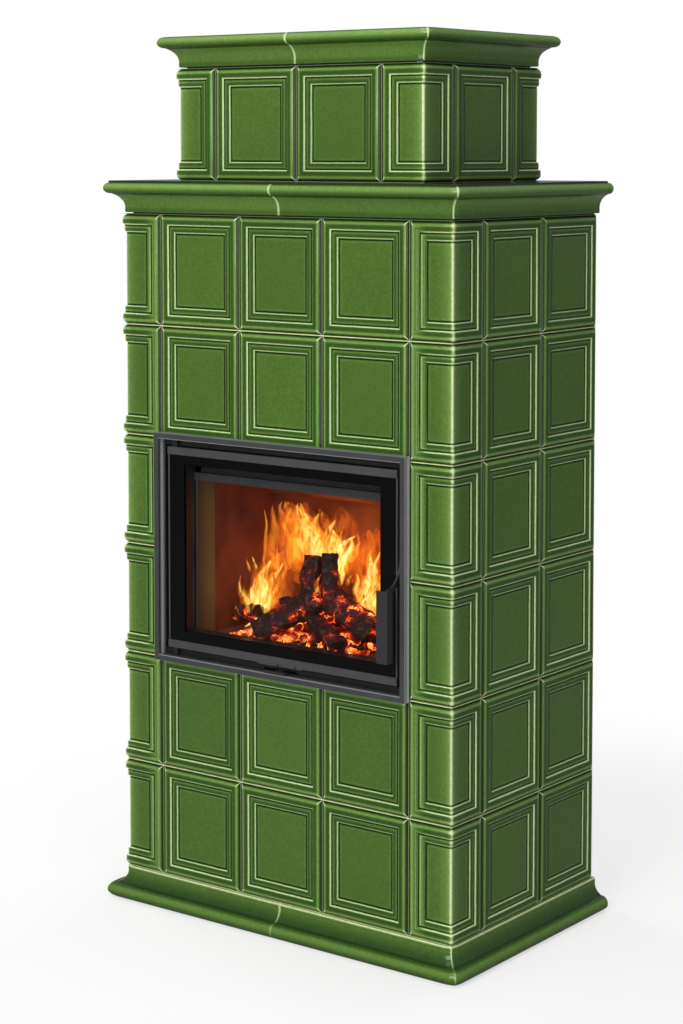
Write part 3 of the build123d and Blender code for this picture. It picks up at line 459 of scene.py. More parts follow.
@dataclass(frozen=True)
class Glaze:
    """Clear coloured glaze over a pale body: thin and pale on arrises, with painted highlights there, and dark
    where it pools, with painted shade in the creases.
    """

    name: str
    # From darkest to palest; the dark end also serves as painted shade, the pale end as painted highlight.
    pooled_and_shaded: Colour = (16, 38, 6)
    shady: Colour = (47, 80, 26)
    body: Colour = (77, 108, 40)
    light: Colour = (112, 148, 70)
    thin: Colour = (160, 186, 118)
    bare: Colour = (220, 230, 180)
    clay: Colour = (184, 146, 112)
    stops: tuple[float, ...] = (0.0, 0.3, 0.5, 0.66, 0.82, 1.0)
    between_tiles: tuple[float, float, float] = (7.0, 3.0, 5.0)
    band: float = 50.0
    contrast: float = 1.12
    tile_tones: float = 0.2
    gloss: float = 0.17
    clouds: float = 9.0
    waves: float = 26.0
    wavers: float = 55.0
    mottles: float = 170.0
    pits: float = 260.0
    wave_depth: float = 0.0012
    mottle_depth: float = 0.00012

    def make(self) -> Finish:
        """Mix the finish.

        Returns:
            The finish.
        """
        r = Recipe(self.name)
        tone, side, up = r.read("tone"), r.read("side"), r.read("up")
        at = r.moved(tone, self.between_tiles)
        mottle = r.noise(self.mottles, 3.0, at)
        waver = r.scaled(r.noise(self.wavers, 2.0, at), 0.8, -0.4)
        rim = r.sum("ADD", r.sum("MINIMUM", side, up), waver)
        stops = [(mm / self.band, (level, level, level, 1.0)) for mm, level in GLAZE_AND_PAINTED_LIGHT]
        profile = r.ramp(r.sum("DIVIDE", rim, self.band), stops)
        mitre = r.sum("ABSOLUTE", r.sum("SUBTRACT", side, up))
        tip = r.times(r.fade(mitre, 0.5, 2.2), r.spread(rim, 7.0, 10.5, 0.75, 0.0))
        # The level mixes how thin the glaze lies with painted shade and painted highlights.
        level = r.sum("ADD", r.sum("ADD", profile, tip), r.read("wear_and_painted_light"))
        level = r.scaled(level, self.contrast, (1 - self.contrast) / 2)
        uneven = r.scaled(r.noise(self.pits, 2.0, at), 0.09, -0.045)
        tones = (self.pooled_and_shaded, self.shady, self.body, self.light, self.thin, self.bare)
        glaze = r.ramp(r.sum("ADD", level, uneven), [(s, paint(*c)) for s, c in zip(self.stops, tones)])
        cloudy = r.spread(r.noise(self.clouds, 3.0, at), 0.3, 0.7, 0.975, 1.025)
        lively = r.times(cloudy, r.spread(mottle, 0.34, 0.66, 0.92, 1.08))
        shade = r.times(lively, r.scaled(tone, self.tile_tones, 1 - self.tile_tones / 2))
        raw = r.spread(r.read("raw"), 0.44, 0.48)
        r.set(Base_Color=r.mix(raw, r.shaded(glaze, shade), paint(*self.clay)))
        r.set(Roughness=r.scaled(raw, 0.7, self.gloss), Specular_IOR_Level=0.42)
        wavy = r.bump(r.noise(self.waves, 1.0, at), self.wave_depth, 0.1)
        r.set(Normal=r.bump(mottle, self.mottle_depth, 0.45, wavy))
        return r.material


@dataclass(frozen=True)
class Metal:
    """Painted or bare metal with a fine grain."""

    name: str
    colour: Colour
    rough: float = 0.4
    metallic: float = 0.0
    grain: float = 900.0
    relief: float = 0.00004
    patch: float = 0.12
    dust: float = 0.003
    clouds: float = 14.0

    def make(self) -> Finish:
        """Mix the finish.

        Returns:
            The finish.
        """
        r = Recipe(self.name)
        base = paint(*self.colour)
        dusty = tuple(min(1.0, c * (1 + self.patch) + self.dust) for c in base[:3]) + (1.0,)
        cloud = r.noise(self.clouds, 4.0)
        speck = r.noise(self.grain, 2.0)
        r.set(Base_Color=r.mix(cloud, base, dusty), Metallic=self.metallic)
        r.set(Roughness=r.spread(cloud, 0.3, 0.7, self.rough * 0.88, self.rough * 1.12))
        r.set(Normal=r.bump(speck, self.relief, 0.6))
        return r.material


@dataclass(frozen=True)
class FramePaint:
    """Grey stoving paint, with painted highlights along the lips and a painted reflection of the white backdrop
    on the returns that face right.
    """

    name: str
    colour: Colour = (62, 64, 65)
    # The colour of the painted highlights along the lips.
    lip: Colour = (132, 133, 134)
    # The colour of the painted reflection on the returns that face right.
    backdrop_light: Colour = (186, 187, 190)
    half: tuple[float, float] = (0.322, 0.2365)
    middle: float = 0.7985
    wide: float = 0.013
    inner_lip: tuple[float, float] = (0.0008, 0.0026)
    outer_lip: tuple[float, float] = (0.0012, 0.0003)
    face: tuple[float, float] = (0.003, 0.007)
    edge_return: tuple[float, float] = (0.004, 0.011)
    deep_return: tuple[float, float] = (0.0135, 0.0195)
    looks_right: tuple[float, float] = (0.6, 0.95)
    clouds: float = 18.0
    grain: float = 900.0
    relief: float = 0.00004

    def make(self) -> Finish:
        """Mix the finish.

        Returns:
            The finish.
        """
        r = Recipe(self.name)
        x, y, z = r.axes()
        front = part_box("facing_frame")[0].y
        depth = r.sum("SUBTRACT", y, front)
        beside = r.sum("SUBTRACT", r.sum("ABSOLUTE", x), self.half[0])
        above = r.sum("SUBTRACT", r.sum("ABSOLUTE", r.sum("SUBTRACT", z, self.middle)), self.half[1])
        off = r.most(beside, above)
        # Painted highlights along the inner lips of the top and bottom bars, and along the outer lip.
        inner = r.times(r.fade(r.sum("ABSOLUTE", off), *self.inner_lip), r.fade(depth, *self.face))
        inner = r.times(inner, r.sum("GREATER_THAN", above, beside))
        wear_and_painted_light = r.most(inner, r.spread(off, *(self.wide - inward for inward in self.outer_lip)))
        plain = r.shaded(paint(*self.colour), r.spread(r.noise(self.clouds, 4.0), 0.3, 0.7, 0.94, 1.08))
        # A painted reflection of the white backdrop on the returns that face right, fading deeper in.
        turned = r.axes(r.node("NewGeometry").outputs["Normal"])[0]
        bare = r.times(r.spread(turned, *self.looks_right), r.spread(depth, *self.edge_return))
        bare = r.times(bare, r.spread(depth, *self.deep_return, 1.0, 0.3))
        coated = r.mix(wear_and_painted_light, plain, paint(*self.lip))
        r.set(Base_Color=r.mix(bare, coated, paint(*self.backdrop_light)), Roughness=0.34)
        r.set(Normal=r.bump(r.noise(self.grain, 2.0), self.relief, 0.6))
        return r.material


@dataclass(frozen=True)
class HeatTint:
    """Steel beside the fire: sooty grey at the door, straw brown deeper in."""

    name: str
    sooty: Colour = (54, 62, 66)
    straw: Colour = (106, 102, 74)
    reach: tuple[float, float] = (-0.232, -0.168)

    def make(self) -> Finish:
        """Mix the finish.

        Returns:
            The finish.
        """
        r = Recipe(self.name)
        tint = r.mix(r.spread(r.axes()[1], *self.reach), paint(*self.sooty), paint(*self.straw))
        r.set(Base_Color=tint, Metallic=0.4, Roughness=0.5)
        return r.material


@dataclass(frozen=True)
class Clay:
    """Dry pressed or fired clay and board."""

    name: str
    colour: Colour
    deep: Colour
    grain: float = 260.0
    relief: float = 0.0003
    patches: float = 11.0

    def make(self) -> Finish:
        """Mix the finish.

        Returns:
            The finish.
        """
        r = Recipe(self.name)
        cloud = r.noise(self.patches, 4.0)
        speck = r.noise(self.grain, 3.0)
        colour = r.mix(r.spread(cloud, 0.32, 0.68), paint(*self.deep), paint(*self.colour))
        r.set(Base_Color=colour, Roughness=0.9)
        r.set(Normal=r.bump(speck, self.relief, 0.7))
        return r.material


@dataclass(frozen=True)
class Mortar:
    """Joint mortar: cream in the bed joints, with painted shade in the deep upright joints and in the joints
    above the top height.
    """

    name: str
    bed: Colour = (236, 248, 176)
    # Painted shade: the colour of the deep upright joints and of every joint above the top height.
    upright: Colour = (118, 124, 92)
    pitch: float = 0.242
    first: float = 0.068
    top: float = 1.5
    half_bed: float = 0.0013
    dulled: float = 0.78
    patches: float = 60.0
    sand: float = 500.0

    def make(self) -> Finish:
        """Mix the finish.

        Returns:
            The finish.
        """
        r = Recipe(self.name)
        z = r.axes()[2]
        # Cream only in the bed joints below the top height; everywhere else the joints take the painted shade.
        off = r.sum("PINGPONG", r.sum("SUBTRACT", z, self.first), self.pitch / 2)
        share = r.times(r.sum("LESS_THAN", off, self.half_bed), r.sum("LESS_THAN", z, self.top))
        cloud = r.noise(self.patches, 3.0)
        cream = r.mix(cloud, paint(*self.bed), paint(*(c * self.dulled for c in self.bed)))
        r.set(Base_Color=r.mix(share, paint(*self.upright), cream), Roughness=0.7)
        r.set(Normal=r.bump(r.noise(self.sand), 0.0003, 0.6))
        return r.material


@dataclass(frozen=True)
class WindowGlass:
    """Clear ceramic glass with a black fired border."""

    name: str
    half_width: float = 0.262
    low: float = 0.618
    high: float = 0.981
    border: Colour = (7, 7, 8)
    veil: float = 0.05

    def make(self) -> Finish:
        """Mix the finish.

        Returns:
            The finish.
        """
        r = Recipe(self.name)
        x, _, z = r.axes()
        across = r.sum("LESS_THAN", r.sum("ABSOLUTE", x), self.half_width)
        up = r.sum("COMPARE", z, (self.low + self.high) / 2, (self.high - self.low) / 2)
        r.set(Base_Color=paint(*self.border), Alpha=r.scaled(r.times(across, up), self.veil - 1, 1.0))
        r.set(Roughness=0.05, Specular_IOR_Level=0.2)
        return r.material


# ---- tiles ----

# The moulded face of a tile, from its rim to its panel: inset and out, in mm
PROFILE = (
    (0.5, -7.0), (1.4, -5.5), (2.6, -4.0), (4.0, -2.6), (5.6, -1.4), (7.4, -0.55), (9.4, -0.1), (12.0, 0.0),
    (15.0, -0.1), (18.0, -0.25), (20.4, -0.4), (21.1, -0.75), (23.3, -3.3), (24.0, -3.75), (25.0, -3.85),
    (26.4, -3.5), (28.6, -3.15), (31.5, -3.35), (34.4, -3.6), (36.7, -3.75), (37.4, -4.05), (39.6, -6.3),
    (40.3, -6.7), (41.4, -6.85), (43.6, -6.6), (47.0, -6.45), (56.0, -6.4),
)

# How much lighter or darker a stepped leg is painted between two distances in mm from its upright edge: painted
# shade on the steps, lighter bands between them
STEPS = ((11.5, 20.9, 0.22), (20.9, 23.5, -0.36), (28.0, 37.2, 0.22), (37.2, 39.8, -0.36))


class Facing(Enum):
    """The way that a wall looks, as its turn about Z in degrees."""

    FRONT = 0
    RIGHT = 90
    BACK = 180
    LEFT = -90


@dataclass
class TileWork:
    """The moulded tiles of both tiers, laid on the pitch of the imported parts."""

    pitch_x: float = 0.220
    pitch_z: float = 0.242
    leg: float = 0.110
    joint: float = 0.002
    start_out: float = -8.0
    body_depth: float = 0.060
    back_rim: float = 0.017
    back_hollow: float = 0.044
    clay_behind: float = 0.02
    saws: tuple[float, ...] = (0.0115, 0.020, 0.034)
    last_saw: float = 0.043
    arris_round: float = 0.0042
    # Beside a corner tile's arris: worn pale glaze with a painted glint close in, then a broad painted sheen.
    arris_wear_and_glint: tuple[float, float, float] = (0.34, 0.0028, 0.0058)
    arris_pale: tuple[float, float] = (0.12, 0.034)
    tilt: float = 0.12
    stagger: float = 0.0003
    courses: int = 6
    seed: int = 11
    glaze: Finish | None = None
    chance: random.Random = field(default_factory=random.Random)

    def press(self, bench: Bench) -> None:
        """Work the moulded profile into the front face of a tile.

        Args:
            bench: The bench that holds the tile.
        """
        bench.faces(lambda c, n: n.y < -0.9 and c.y < 0.03)
        before, out = 0.0, self.start_out
        for inset, rise in PROFILE:
            bench.inset((inset - before) * MM, (rise - out) * MM)
            before, out = inset, rise

    def field_tile(self) -> Piece:
        """A plain tile whose face lies on Y = 0, over the middle of its lower edge.

        Returns:
            The tile.
        """
        half, high = (self.pitch_x - self.joint) / 2, self.pitch_z - self.joint
        tile = box("field_tile", (-half, -self.start_out * MM, 0), (half, self.body_depth, high))
        with shaping(tile) as bench:
            self.press(bench)
            bench.faces(lambda c, n: n.y > 0.9)
            bench.inset(self.back_rim)
            bench.extrude((0, -self.back_hollow, 0))
            bench.saw((0, 0, 0), (1, 0, 0))
            bench.saw((0, 0, high / 2), (0, 0, 1))
        self.mark_rim(tile, high, lambda p: half - abs(p.x), lambda p: p.y)
        mark(tile, "wear_and_painted_light", lambda p: 0.0)
        smooth(tile)
        return tile

    def corner_tile(self, stepped: float = 0.0) -> Piece:
        """A corner tile whose arris stands on the Z axis, with legs along +X and +Y.

        Args:
            stepped: Share of the painted shade on the upright steps of the leg along +X, and of the lighter
                bands between them.

        Returns:
            The tile.
        """
        leg, high = self.leg - self.joint / 2, self.pitch_z - self.joint
        tile = box("corner_tile", (-leg, -self.start_out * MM, 0), (leg, self.body_depth, high))
        with shaping(tile) as bench:
            self.press(bench)
            bench.saw((0, 0, 0), (-1, 1, 0))
            bench.faces(lambda c, n: c.x < c.y)
            bpy.ops.mesh.delete(type="FACE")
            for inset in (*self.saws, leg - self.last_saw):
                bench.saw((inset, 0, 0), (1, 0, 0))
            bench.saw((0, 0, high / 2), (0, 0, 1))
        other = again(tile, Matrix(((0, 1, 0, 0), (1, 0, 0, 0), (0, 0, 1, 0), (0, 0, 0, 1))))
        tile = joined("corner_tile", [tile, other])
        with shaping(tile, "EDGE") as bench:
            bench.weld()
            bench.edges(lambda a, b: max(abs(a.x - a.y), abs(b.x - b.y)) < 1e-5 and max(a.x, b.x) < 0.012)
            bench.bevel(self.arris_round, 4)
            bench.weld()
        self.mark_rim(tile, high, lambda p: leg - max(p.x, p.y), lambda p: min(p.x, p.y))
        # Pale beside the arris from worn glaze and painted sheen; where stepped is set, painted shade on the
        # steps of the leg along +X.
        mark(tile, "wear_and_painted_light", lambda p: self.arris_wear_and_sheen(p) + stepped * self.on_step(p, leg))
        smooth(tile)
        return tile

    @staticmethod
    def on_step(p: Vector, leg: float) -> float:
        """How much lighter or darker the upright bands of the leg along +X are painted: painted shade on the
        steps, lighter between them.

        Args:
            p: The point.
            leg: The leg's length.

        Returns:
            The change; it is below 0 on the steps, which are painted in shade.
        """
        inset = (leg - p.x) / MM
        return next((thin for low, high, thin in STEPS if p.y <= 0.009 and low <= inset <= high), 0.0)

    def mark_rim(self, tile: Piece, high: float, side: Rule, depth: Rule) -> None:
        """Mark how far each point lies from a tile's upright edges and from its bed joints, in mm.

        Args:
            tile: The tile.
            high: Its height.
            side: A point's distance from the nearer upright edge.
            depth: A point's distance behind the face; deep points are bare clay.
        """
        behind = self.clay_behind
        mark(tile, "side", lambda p: 0.0 if depth(p) > behind else max(0.0, side(p)) / MM)
        mark(tile, "up", lambda p: 30.0 if depth(p) > behind else max(0.0, min(p.z, high - p.z)) / MM)
        mark(tile, "raw", lambda p: 1.0 if depth(p) > behind else 0.0)

    def arris_wear_and_sheen(self, p: Vector) -> float:
        """How pale a corner tile is beside its arris: worn glaze with a painted glint close in, and a broad
        painted sheen.

        Args:
            p: The point.

        Returns:
            How much paler it is than elsewhere.
        """
        beside = abs(p.x - p.y)
        if min(p.x, p.y) > self.clay_behind:
            return 0.0
        (wear_and_painted_light, near_by, far), (pale, wide) = self.arris_wear_and_glint, self.arris_pale
        return wear_and_painted_light * max(0.0, min(1.0, (far - beside) / (far - near_by))) + pale * max(0.0, 1 - beside / wide)

    def place_all(self, node: str, places: Sequence[tuple[Piece, Matrix]], called: str = "") -> None:
        """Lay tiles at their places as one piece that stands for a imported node.

        Args:
            node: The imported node.
            places: Each tile's pattern and place.
            called: What the piece is called, where it isn't named for its node.
        """
        laid = []
        middle = Matrix.Translation((0, 0, self.pitch_z / 2))
        for pattern, place in places:
            lean = Matrix.Rotation(radians(self.chance.uniform(-self.tilt, self.tilt)), 4, "X")
            turn = Matrix.Rotation(radians(self.chance.uniform(-self.tilt, self.tilt)), 4, "Z")
            push = Matrix.Translation((0, self.chance.uniform(0, self.stagger), 0))
            corner = pattern.name.startswith("corner")
            loose = Matrix.Identity(4) if corner else middle @ push @ turn @ lean @ middle.inverted()
            tile = again(pattern, place @ loose)
            tone = self.chance.random()
            mark(tile, "tone", lambda p: tone)
            laid.append(tile)
        piece = joined("glazed_" + (called or node), laid)
        coat(piece, self.glaze)
        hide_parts(node)
        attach(piece, "stove")
        log.info("%s: %d tiles", piece.name, len(laid))

    @staticmethod
    def at(x: float, y: float, z: float, facing: Facing) -> Matrix:
        """The place of a plain tile on a wall."""
        return Matrix.Translation((x, y, z)) @ Matrix.Rotation(radians(facing.value), 4, "Z")

    @staticmethod
    def flip(x: float, y: float, z: float, sx: int, sy: int) -> Matrix:
        """The place of a corner tile, mirrored to its quarter."""
        return Matrix.Translation((x, y, z)) @ Matrix.Diagonal((-sx, -sy, 1, 1))

    def build(self) -> None:
        """Mould the patterns and lay every tile."""
        self.chance.seed(self.seed)
        plain, corner, low_corner = self.field_tile(), self.corner_tile(), self.corner_tile(1.0)
        self.lay_body(plain, low_corner)
        self.lay_upper(plain, corner)
        drop(plain, corner, low_corner)

    def lay_body(self, plain: Piece, corner: Piece) -> None:
        """Lay the tiles of the body.

        Args:
            plain: The pattern of a plain tile.
            corner: The pattern of a corner tile.
        """
        _, front_y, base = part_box("front_tiles_low")[0]
        side_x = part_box("side_tiles_right")[1].x
        heights = [base + i * self.pitch_z for i in range(self.courses)]
        row = [(i - 1) * self.pitch_x for i in range(3)]
        for name, courses in (("front_tiles_low", heights[:2]), ("front_tiles_high", heights[4:])):
            self.place_all(name, [(plain, self.at(x, front_y, z, Facing.FRONT)) for z in courses for x in row])
        columns = [front_y + self.leg + (i + 0.5) * self.pitch_x for i in range(2)]
        for side, label, facing in ((-1, "left", Facing.LEFT), (1, "right", Facing.RIGHT)):
            x = side * side_x
            places = [(corner, self.flip(x, front_y, z, side, -1)) for z in heights]
            self.place_all("corner_tiles_" + label, places)
            places = [(plain, self.at(x, y, z, facing)) for z in heights for y in columns]
            self.place_all("side_tiles_" + label, places)

    def lay_upper(self, plain: Piece, corner: Piece) -> None:
        """Lay the tiles of the upper box.

        Args:
            plain: The pattern of a plain tile.
            corner: The pattern of a corner tile.
        """
        (_, front, z), (_, back, _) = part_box("upper_face_tiles")
        x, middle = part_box("upper_corner_tiles")[1].x, (front + back) / 2
        faces = ((front, Facing.FRONT), (back, Facing.BACK))
        places = [(plain, self.at(s * self.pitch_x / 2, y, z, facing)) for y, facing in faces for s in (-1, 1)]
        self.place_all("upper_face_tiles", places, "upper_faces")
        sides = ((-1, Facing.LEFT), (1, Facing.RIGHT))
        places = [(plain, self.at(s * x, middle, z, facing)) for s, facing in sides]
        self.place_all("upper_side_tiles", places, "upper_sides")
        quarters = [(s, q, y) for s in (-1, 1) for q, y in ((-1, front), (1, back))]
        places = [(corner, self.flip(s * x, y, z, s, q)) for s, q, y in quarters]
        self.place_all("upper_corner_tiles", places, "upper_corners")


# ---- mouldings ----


def arc(centre: Point, radius: float, start: float, end: float, steps: int) -> list[tuple[float, float]]:
    """Points of an arc between two angles in degrees, both ends among them."""
    turns = [radians(start + (end - start) * i / steps) for i in range(steps + 1)]
    return [(centre[0] + radius * cos(t), centre[1] + radius * sin(t)) for t in turns]


def hollow(start: Point, end: Point, sag: float, steps: int) -> list[tuple[float, float]]:
    """Points of a hollow curve, without its ends.

    Args:
        start: Where it starts.
        end: Where it ends.
        sag: How far it bellies from the straight line.
        steps: How many steps it takes.

    Returns:
        The points between the ends.
    """
    dx, dy = end[0] - start[0], end[1] - start[1]
    chord = hypot(dx, dy)
    radius = (chord * chord / 4 + sag * sag) / (2 * sag)
    points = []
    for t in [i / steps for i in range(1, steps)]:
        off = sqrt(radius**2 - ((t - 0.5) * chord) ** 2) - (radius - sag)
        points.append((start[0] + dx * t - dy / chord * off, start[1] + dy * t + dx / chord * off))
    return points


def near(p: Vector, spot: Point) -> bool:
    """Whether a point lies on a section's spot, given in mm as out and up."""
    return abs(p.y + spot[0] * MM) < 1e-6 and abs(p.z - spot[1] * MM) < 1e-6


@dataclass
class Mouldings:
    """Plinth, cornice and crown: lengths of moulding, mitred at the corners.

    A section's spots are out, up and how thin the glaze is, with painted shade mixed in, from the foot to the
    top, in mm.
    A cut is a point, the way out of the length there, and whether it is a mitre.
    """

    glaze: Finish | None = None
    reach: float = 0.034
    spare: float = 0.02
    half_joint: float = 0.0006
    seams: tuple[float, ...] = (0.0012, 0.0030, 0.0055, 0.0095, 0.0145, 0.021)
    seam_on_foot: float = 0.26
    seam_above: float = 0.56
    foot_height: float = 0.031
    round_off: float = 0.0052
    from_rim: float = 49.5
    seed: int = 5
    chance: random.Random = field(default_factory=random.Random)

    @staticmethod
    def on_roll(rise: float) -> float:
        """How light a roll is painted, from its underside at 0 to its top at 1: painted shade on the underside,
        and darker again towards the top.
        """
        return 0.07 - 0.42 * max(0.0, (0.64 - rise) / 0.64) ** 1.4 - 0.3 * max(0.0, (rise - 0.84) / 0.16)

    def plinth(self) -> Section:
        """Set out the plinth.

        Returns:
            Its section.
        """
        roll = [(x, y, self.on_roll(y / 31)) for x, y in arc((18.5, 15.5), 15.5, -90, 92, 18)]
        # The ledge over the roll is dark: pooled glaze with painted shade in the crease.
        ledge = [(16.6, 31.1, -0.42), (15.8, 31.6, -0.38)]
        rise = hollow((15.2, 32.4), (1.0, 60.6), 5.2, 9)
        cove = [(x, y, -0.24 + 0.34 * ((y - 31) / 30) ** 1.3) for x, y in rise]
        lip = [(0.9, 61.0, 0.0), (0.7, 63.5, 0.1), (0.3, 65.6, 0.4), (-0.8, 67.2, 0.45), (-2.6, 68.0, 0.1)]
        return [(-60, 0, -0.4), *roll, *ledge, *cove, *lip, (-60, 68, -0.3)]

    def cornice(self) -> Section:
        """Set out the cornice, which the crown repeats.

        Returns:
            Its section.
        """
        # The recessed foot is dark: painted shade in the gap under the foot.
        foot = [(-13, 0, -0.4), (-13, 2.8, -0.4), (-1.6, 2.8, -0.3), (-0.5, 3.8, -0.05)]
        foot += [(-0.2, 5.4, -0.08), (-0.2, 8.6, -0.09)]
        rise = hollow((0.0, 10.0), (19.2, 42.6), 6.4, 10)
        cove = [(x, y, 0.01 + 0.05 * (y - 10) / 33) for x, y in rise]
        # The ledge under the roll is dark: pooled glaze with painted shade in the crease.
        ledge = [(19.6, 43.3, -0.35), (20.4, 43.9, -0.38)]
        roll = [(x, y, self.on_roll((y - 44) / 24) + 0.09) for x, y in arc((22.0, 56.0), 12.0, -88, 90, 18)]
        return [(-60, 0, -0.4), *foot, *cove, *ledge, *roll, (-60, 68, -0.2)]

    def draw(self, section: Section, span: Point) -> Piece:
        """Draw a section up from its foot, as a closed bar along the X axis.

        Args:
            section: The section.
            span: Start and end of the bar.

        Returns:
            The bar.
        """
        (x0, z0, _), (x1, z1, _) = section[:2]
        put_down()
        bpy.ops.mesh.primitive_plane_add(size=1)
        piece = bpy.context.object
        with shaping(piece, "VERT") as bench:
            mesh = bench.mesh()
            for vertex in mesh.verts:
                out, up = (x0, z0) if vertex.co.y < 0 else (x1, z1)
                vertex.co = (span[vertex.co.x > 0], -out * MM, up * MM)
            bmesh.update_edit_mesh(piece.data)
        with shaping(piece, "EDGE") as bench:
            before = (x1, z1)
            bench.edges(lambda a, b: near(a, before) and near(b, before))
            for out, up, _ in section[2:]:
                bench.extrude((0, -(out - before[0]) * MM, (up - before[1]) * MM))
                before = (out, up)
            first, last = section[0], section[-1]
            bench.edges(lambda a, b: near(a, first) and near(b, first) or near(a, last) and near(b, last))
            bpy.ops.mesh.bridge_edge_loops()
            for end in span:
                bench.edges(lambda a, b: abs(a.x - end) < 1e-6 and abs(b.x - end) < 1e-6)
                bpy.ops.mesh.edge_face_add()
            bench.weld(1e-6)
        return piece

    def saw_ends(self, piece: Piece, cuts: Sequence[Cut]) -> None:
        """Saw the mitres, and score the lines beside each end over which its glaze changes.

        Args:
            piece: A bar in its place.
            cuts: Its ends.
        """
        with shaping(piece, "EDGE") as bench:
            for point, normal, mitre in cuts:
                if mitre:
                    bench.saw(point, normal, True)
                for inward in self.seams:
                    bench.saw(Vector(point) - Vector(normal).normalized() * inward, normal)

    def mark_glaze(self, piece: Piece, section: Section, seat: Matrix, cuts: Sequence[Cut]) -> None:
        """Mark how the glaze lies on a length, with the painted shade of its section.

        Args:
            piece: The length, in its place.
            section: Its section.
            seat: How it was moved there.
            cuts: Its ends.
        """
        planes = [(Vector(p), Vector(n).normalized()) for p, n, _ in cuts]
        back = seat.inverted()
        table = {(round(x * 10), round(z * 10)): thin for x, z, thin in section}
        steps = [(i, j) for i in (0, -1, 1) for j in (0, -1, 1)]

        def seam(p: Vector) -> float:
            """How much thinner the glaze is for the nearest joint.

            Args:
                p: The point.

            Returns:
                The change.
            """
            gap = min(abs((p - point).dot(normal)) for point, normal in planes)
            share = self.seam_on_foot if p.z < self.foot_height else self.seam_above
            return max(0.0, 1.0 - gap / self.seams[1]) * share

        def thin(p: Vector) -> float:
            """How thin the glaze is by its place on the section, with the section's painted shade.

            Args:
                p: The point.

            Returns:
                The section's own number there.
            """
            spot = back @ p
            x, z = round(-spot.y / MM * 10), round(spot.z / MM * 10)
            return next((table[x + i, z + j] for i, j in steps if (x + i, z + j) in table), 0.0)

        raw = [point[1] for point, normal, mitre in cuts if not mitre and normal[1] > 0.5]
        mark(piece, "side", lambda p: self.from_rim)
        mark(piece, "up", lambda p: self.from_rim)
        mark(piece, "raw", lambda p: 1.0 if raw and p.y > raw[0] - 1e-4 else 0.0)
        # The section's glaze and painted shade, paler where the glaze thins at the joints.
        mark(piece, "wear_and_painted_light", lambda p: thin(p) + seam(p))

    def round_corner(self, piece: Piece, point: Vector, normal: Vector, turn: float) -> None:
        """Ease the outer corner of a length in plan, beside one of its mitres.

        Args:
            piece: The length of moulding.
            point: A point on the mitre.
            normal: The way out of the length at the mitre.
            turn: The length's turn about Z.
        """
        along, outward = Vector((cos(turn), sin(turn), 0)), Vector((sin(turn), -cos(turn), 0))
        away = along * (-1 if normal.dot(along) > 0 else 1)
        for vertex in piece.data.vertices:
            share = max(0.0, 1 - (point - vertex.co).dot(normal) / self.seams[-1]) ** 2
            vertex.co += (away - outward) * self.round_off * share

    def length(
        self, node: str, section: Section, facing: Facing, origin: Point, span: Point, cuts: Sequence[Cut]
    ) -> None:
        """Make one length of moulding.

        Args:
            node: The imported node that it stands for.
            section: Its section.
            facing: The way that it looks.
            origin: Where the section's zero lies.
            span: Start and end along the run, before turning.
            cuts: Its ends. A square one already ends the span.
        """
        turn = radians(facing.value)
        seat = Matrix.Translation(origin) @ Matrix.Rotation(turn, 4, "Z")
        piece = self.draw(section, span)
        piece.data.transform(seat)
        self.saw_ends(piece, cuts)
        self.mark_glaze(piece, section, seat, cuts)
        for point, normal, mitre in cuts:
            if mitre:
                self.round_corner(piece, Vector(point), Vector(normal).normalized(), turn)
        tone = self.chance.random()
        mark(piece, "tone", lambda p: tone)
        piece = settle(piece, "glazed_" + node)
        smooth(piece, 38)
        coat(piece, self.glaze)
        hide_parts(node)
        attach(piece, "stove")
        log.info("%s: moulding", piece.name)

    def build(self) -> None:
        """Cut and lay every length."""
        self.chance.seed(self.seed)
        cornice_z, crown_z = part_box("cornice_front_left")[0].z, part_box("crown_front_left")[0].z
        front_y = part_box("front_tiles_low")[0].y
        side_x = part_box("side_tiles_right")[1].x
        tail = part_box("plinth_side_right")[1].y
        top_low, top_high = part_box("upper_corner_tiles")
        past = self.reach + self.spare
        tiers = (
            ("plinth", self.plinth(), side_x, front_y, tail, 0.0),
            ("cornice", self.cornice(), side_x, front_y, tail, cornice_z),
            ("crown", self.cornice(), top_high.x, top_low.y, top_high.y, crown_z),
        )
        for label, section, x, y0, y1, z in tiers:
            closed = label == "crown"
            for s, name in ((-1, "left"), (1, "right")):
                corner, middle, rear = (s * x, y0, z), (s * self.half_joint, y0, z), (s * x, y1, z)
                span = sorted((middle[0], s * (x + past)))
                cuts = [(corner, (s, 1, 0), True), (middle, (-s, 0, 0), False)]
                self.length(f"{label}_front_{name}", section, Facing.FRONT, (0, y0, z), span, cuts)
                facing = Facing.RIGHT if s > 0 else Facing.LEFT
                span = sorted((s * (y0 - past), s * (y1 + past if closed else y1)))
                end = (rear, (-s, 1, 0), True) if closed else (rear, (0, 1, 0), False)
                cuts = [(corner, (-s, -1, 0), True), end]
                self.length(f"{label}_side_{name}", section, facing, (s * x, 0, z), span, cuts)
            if closed:
                cuts = [((s * x, y1, z), (s, -1, 0), True) for s in (-1, 1)]
                span = (-x - past, x + past)
                self.length("crown_rear", section, Facing.BACK, (0, y1, z), span, cuts)


# ---- fire ----


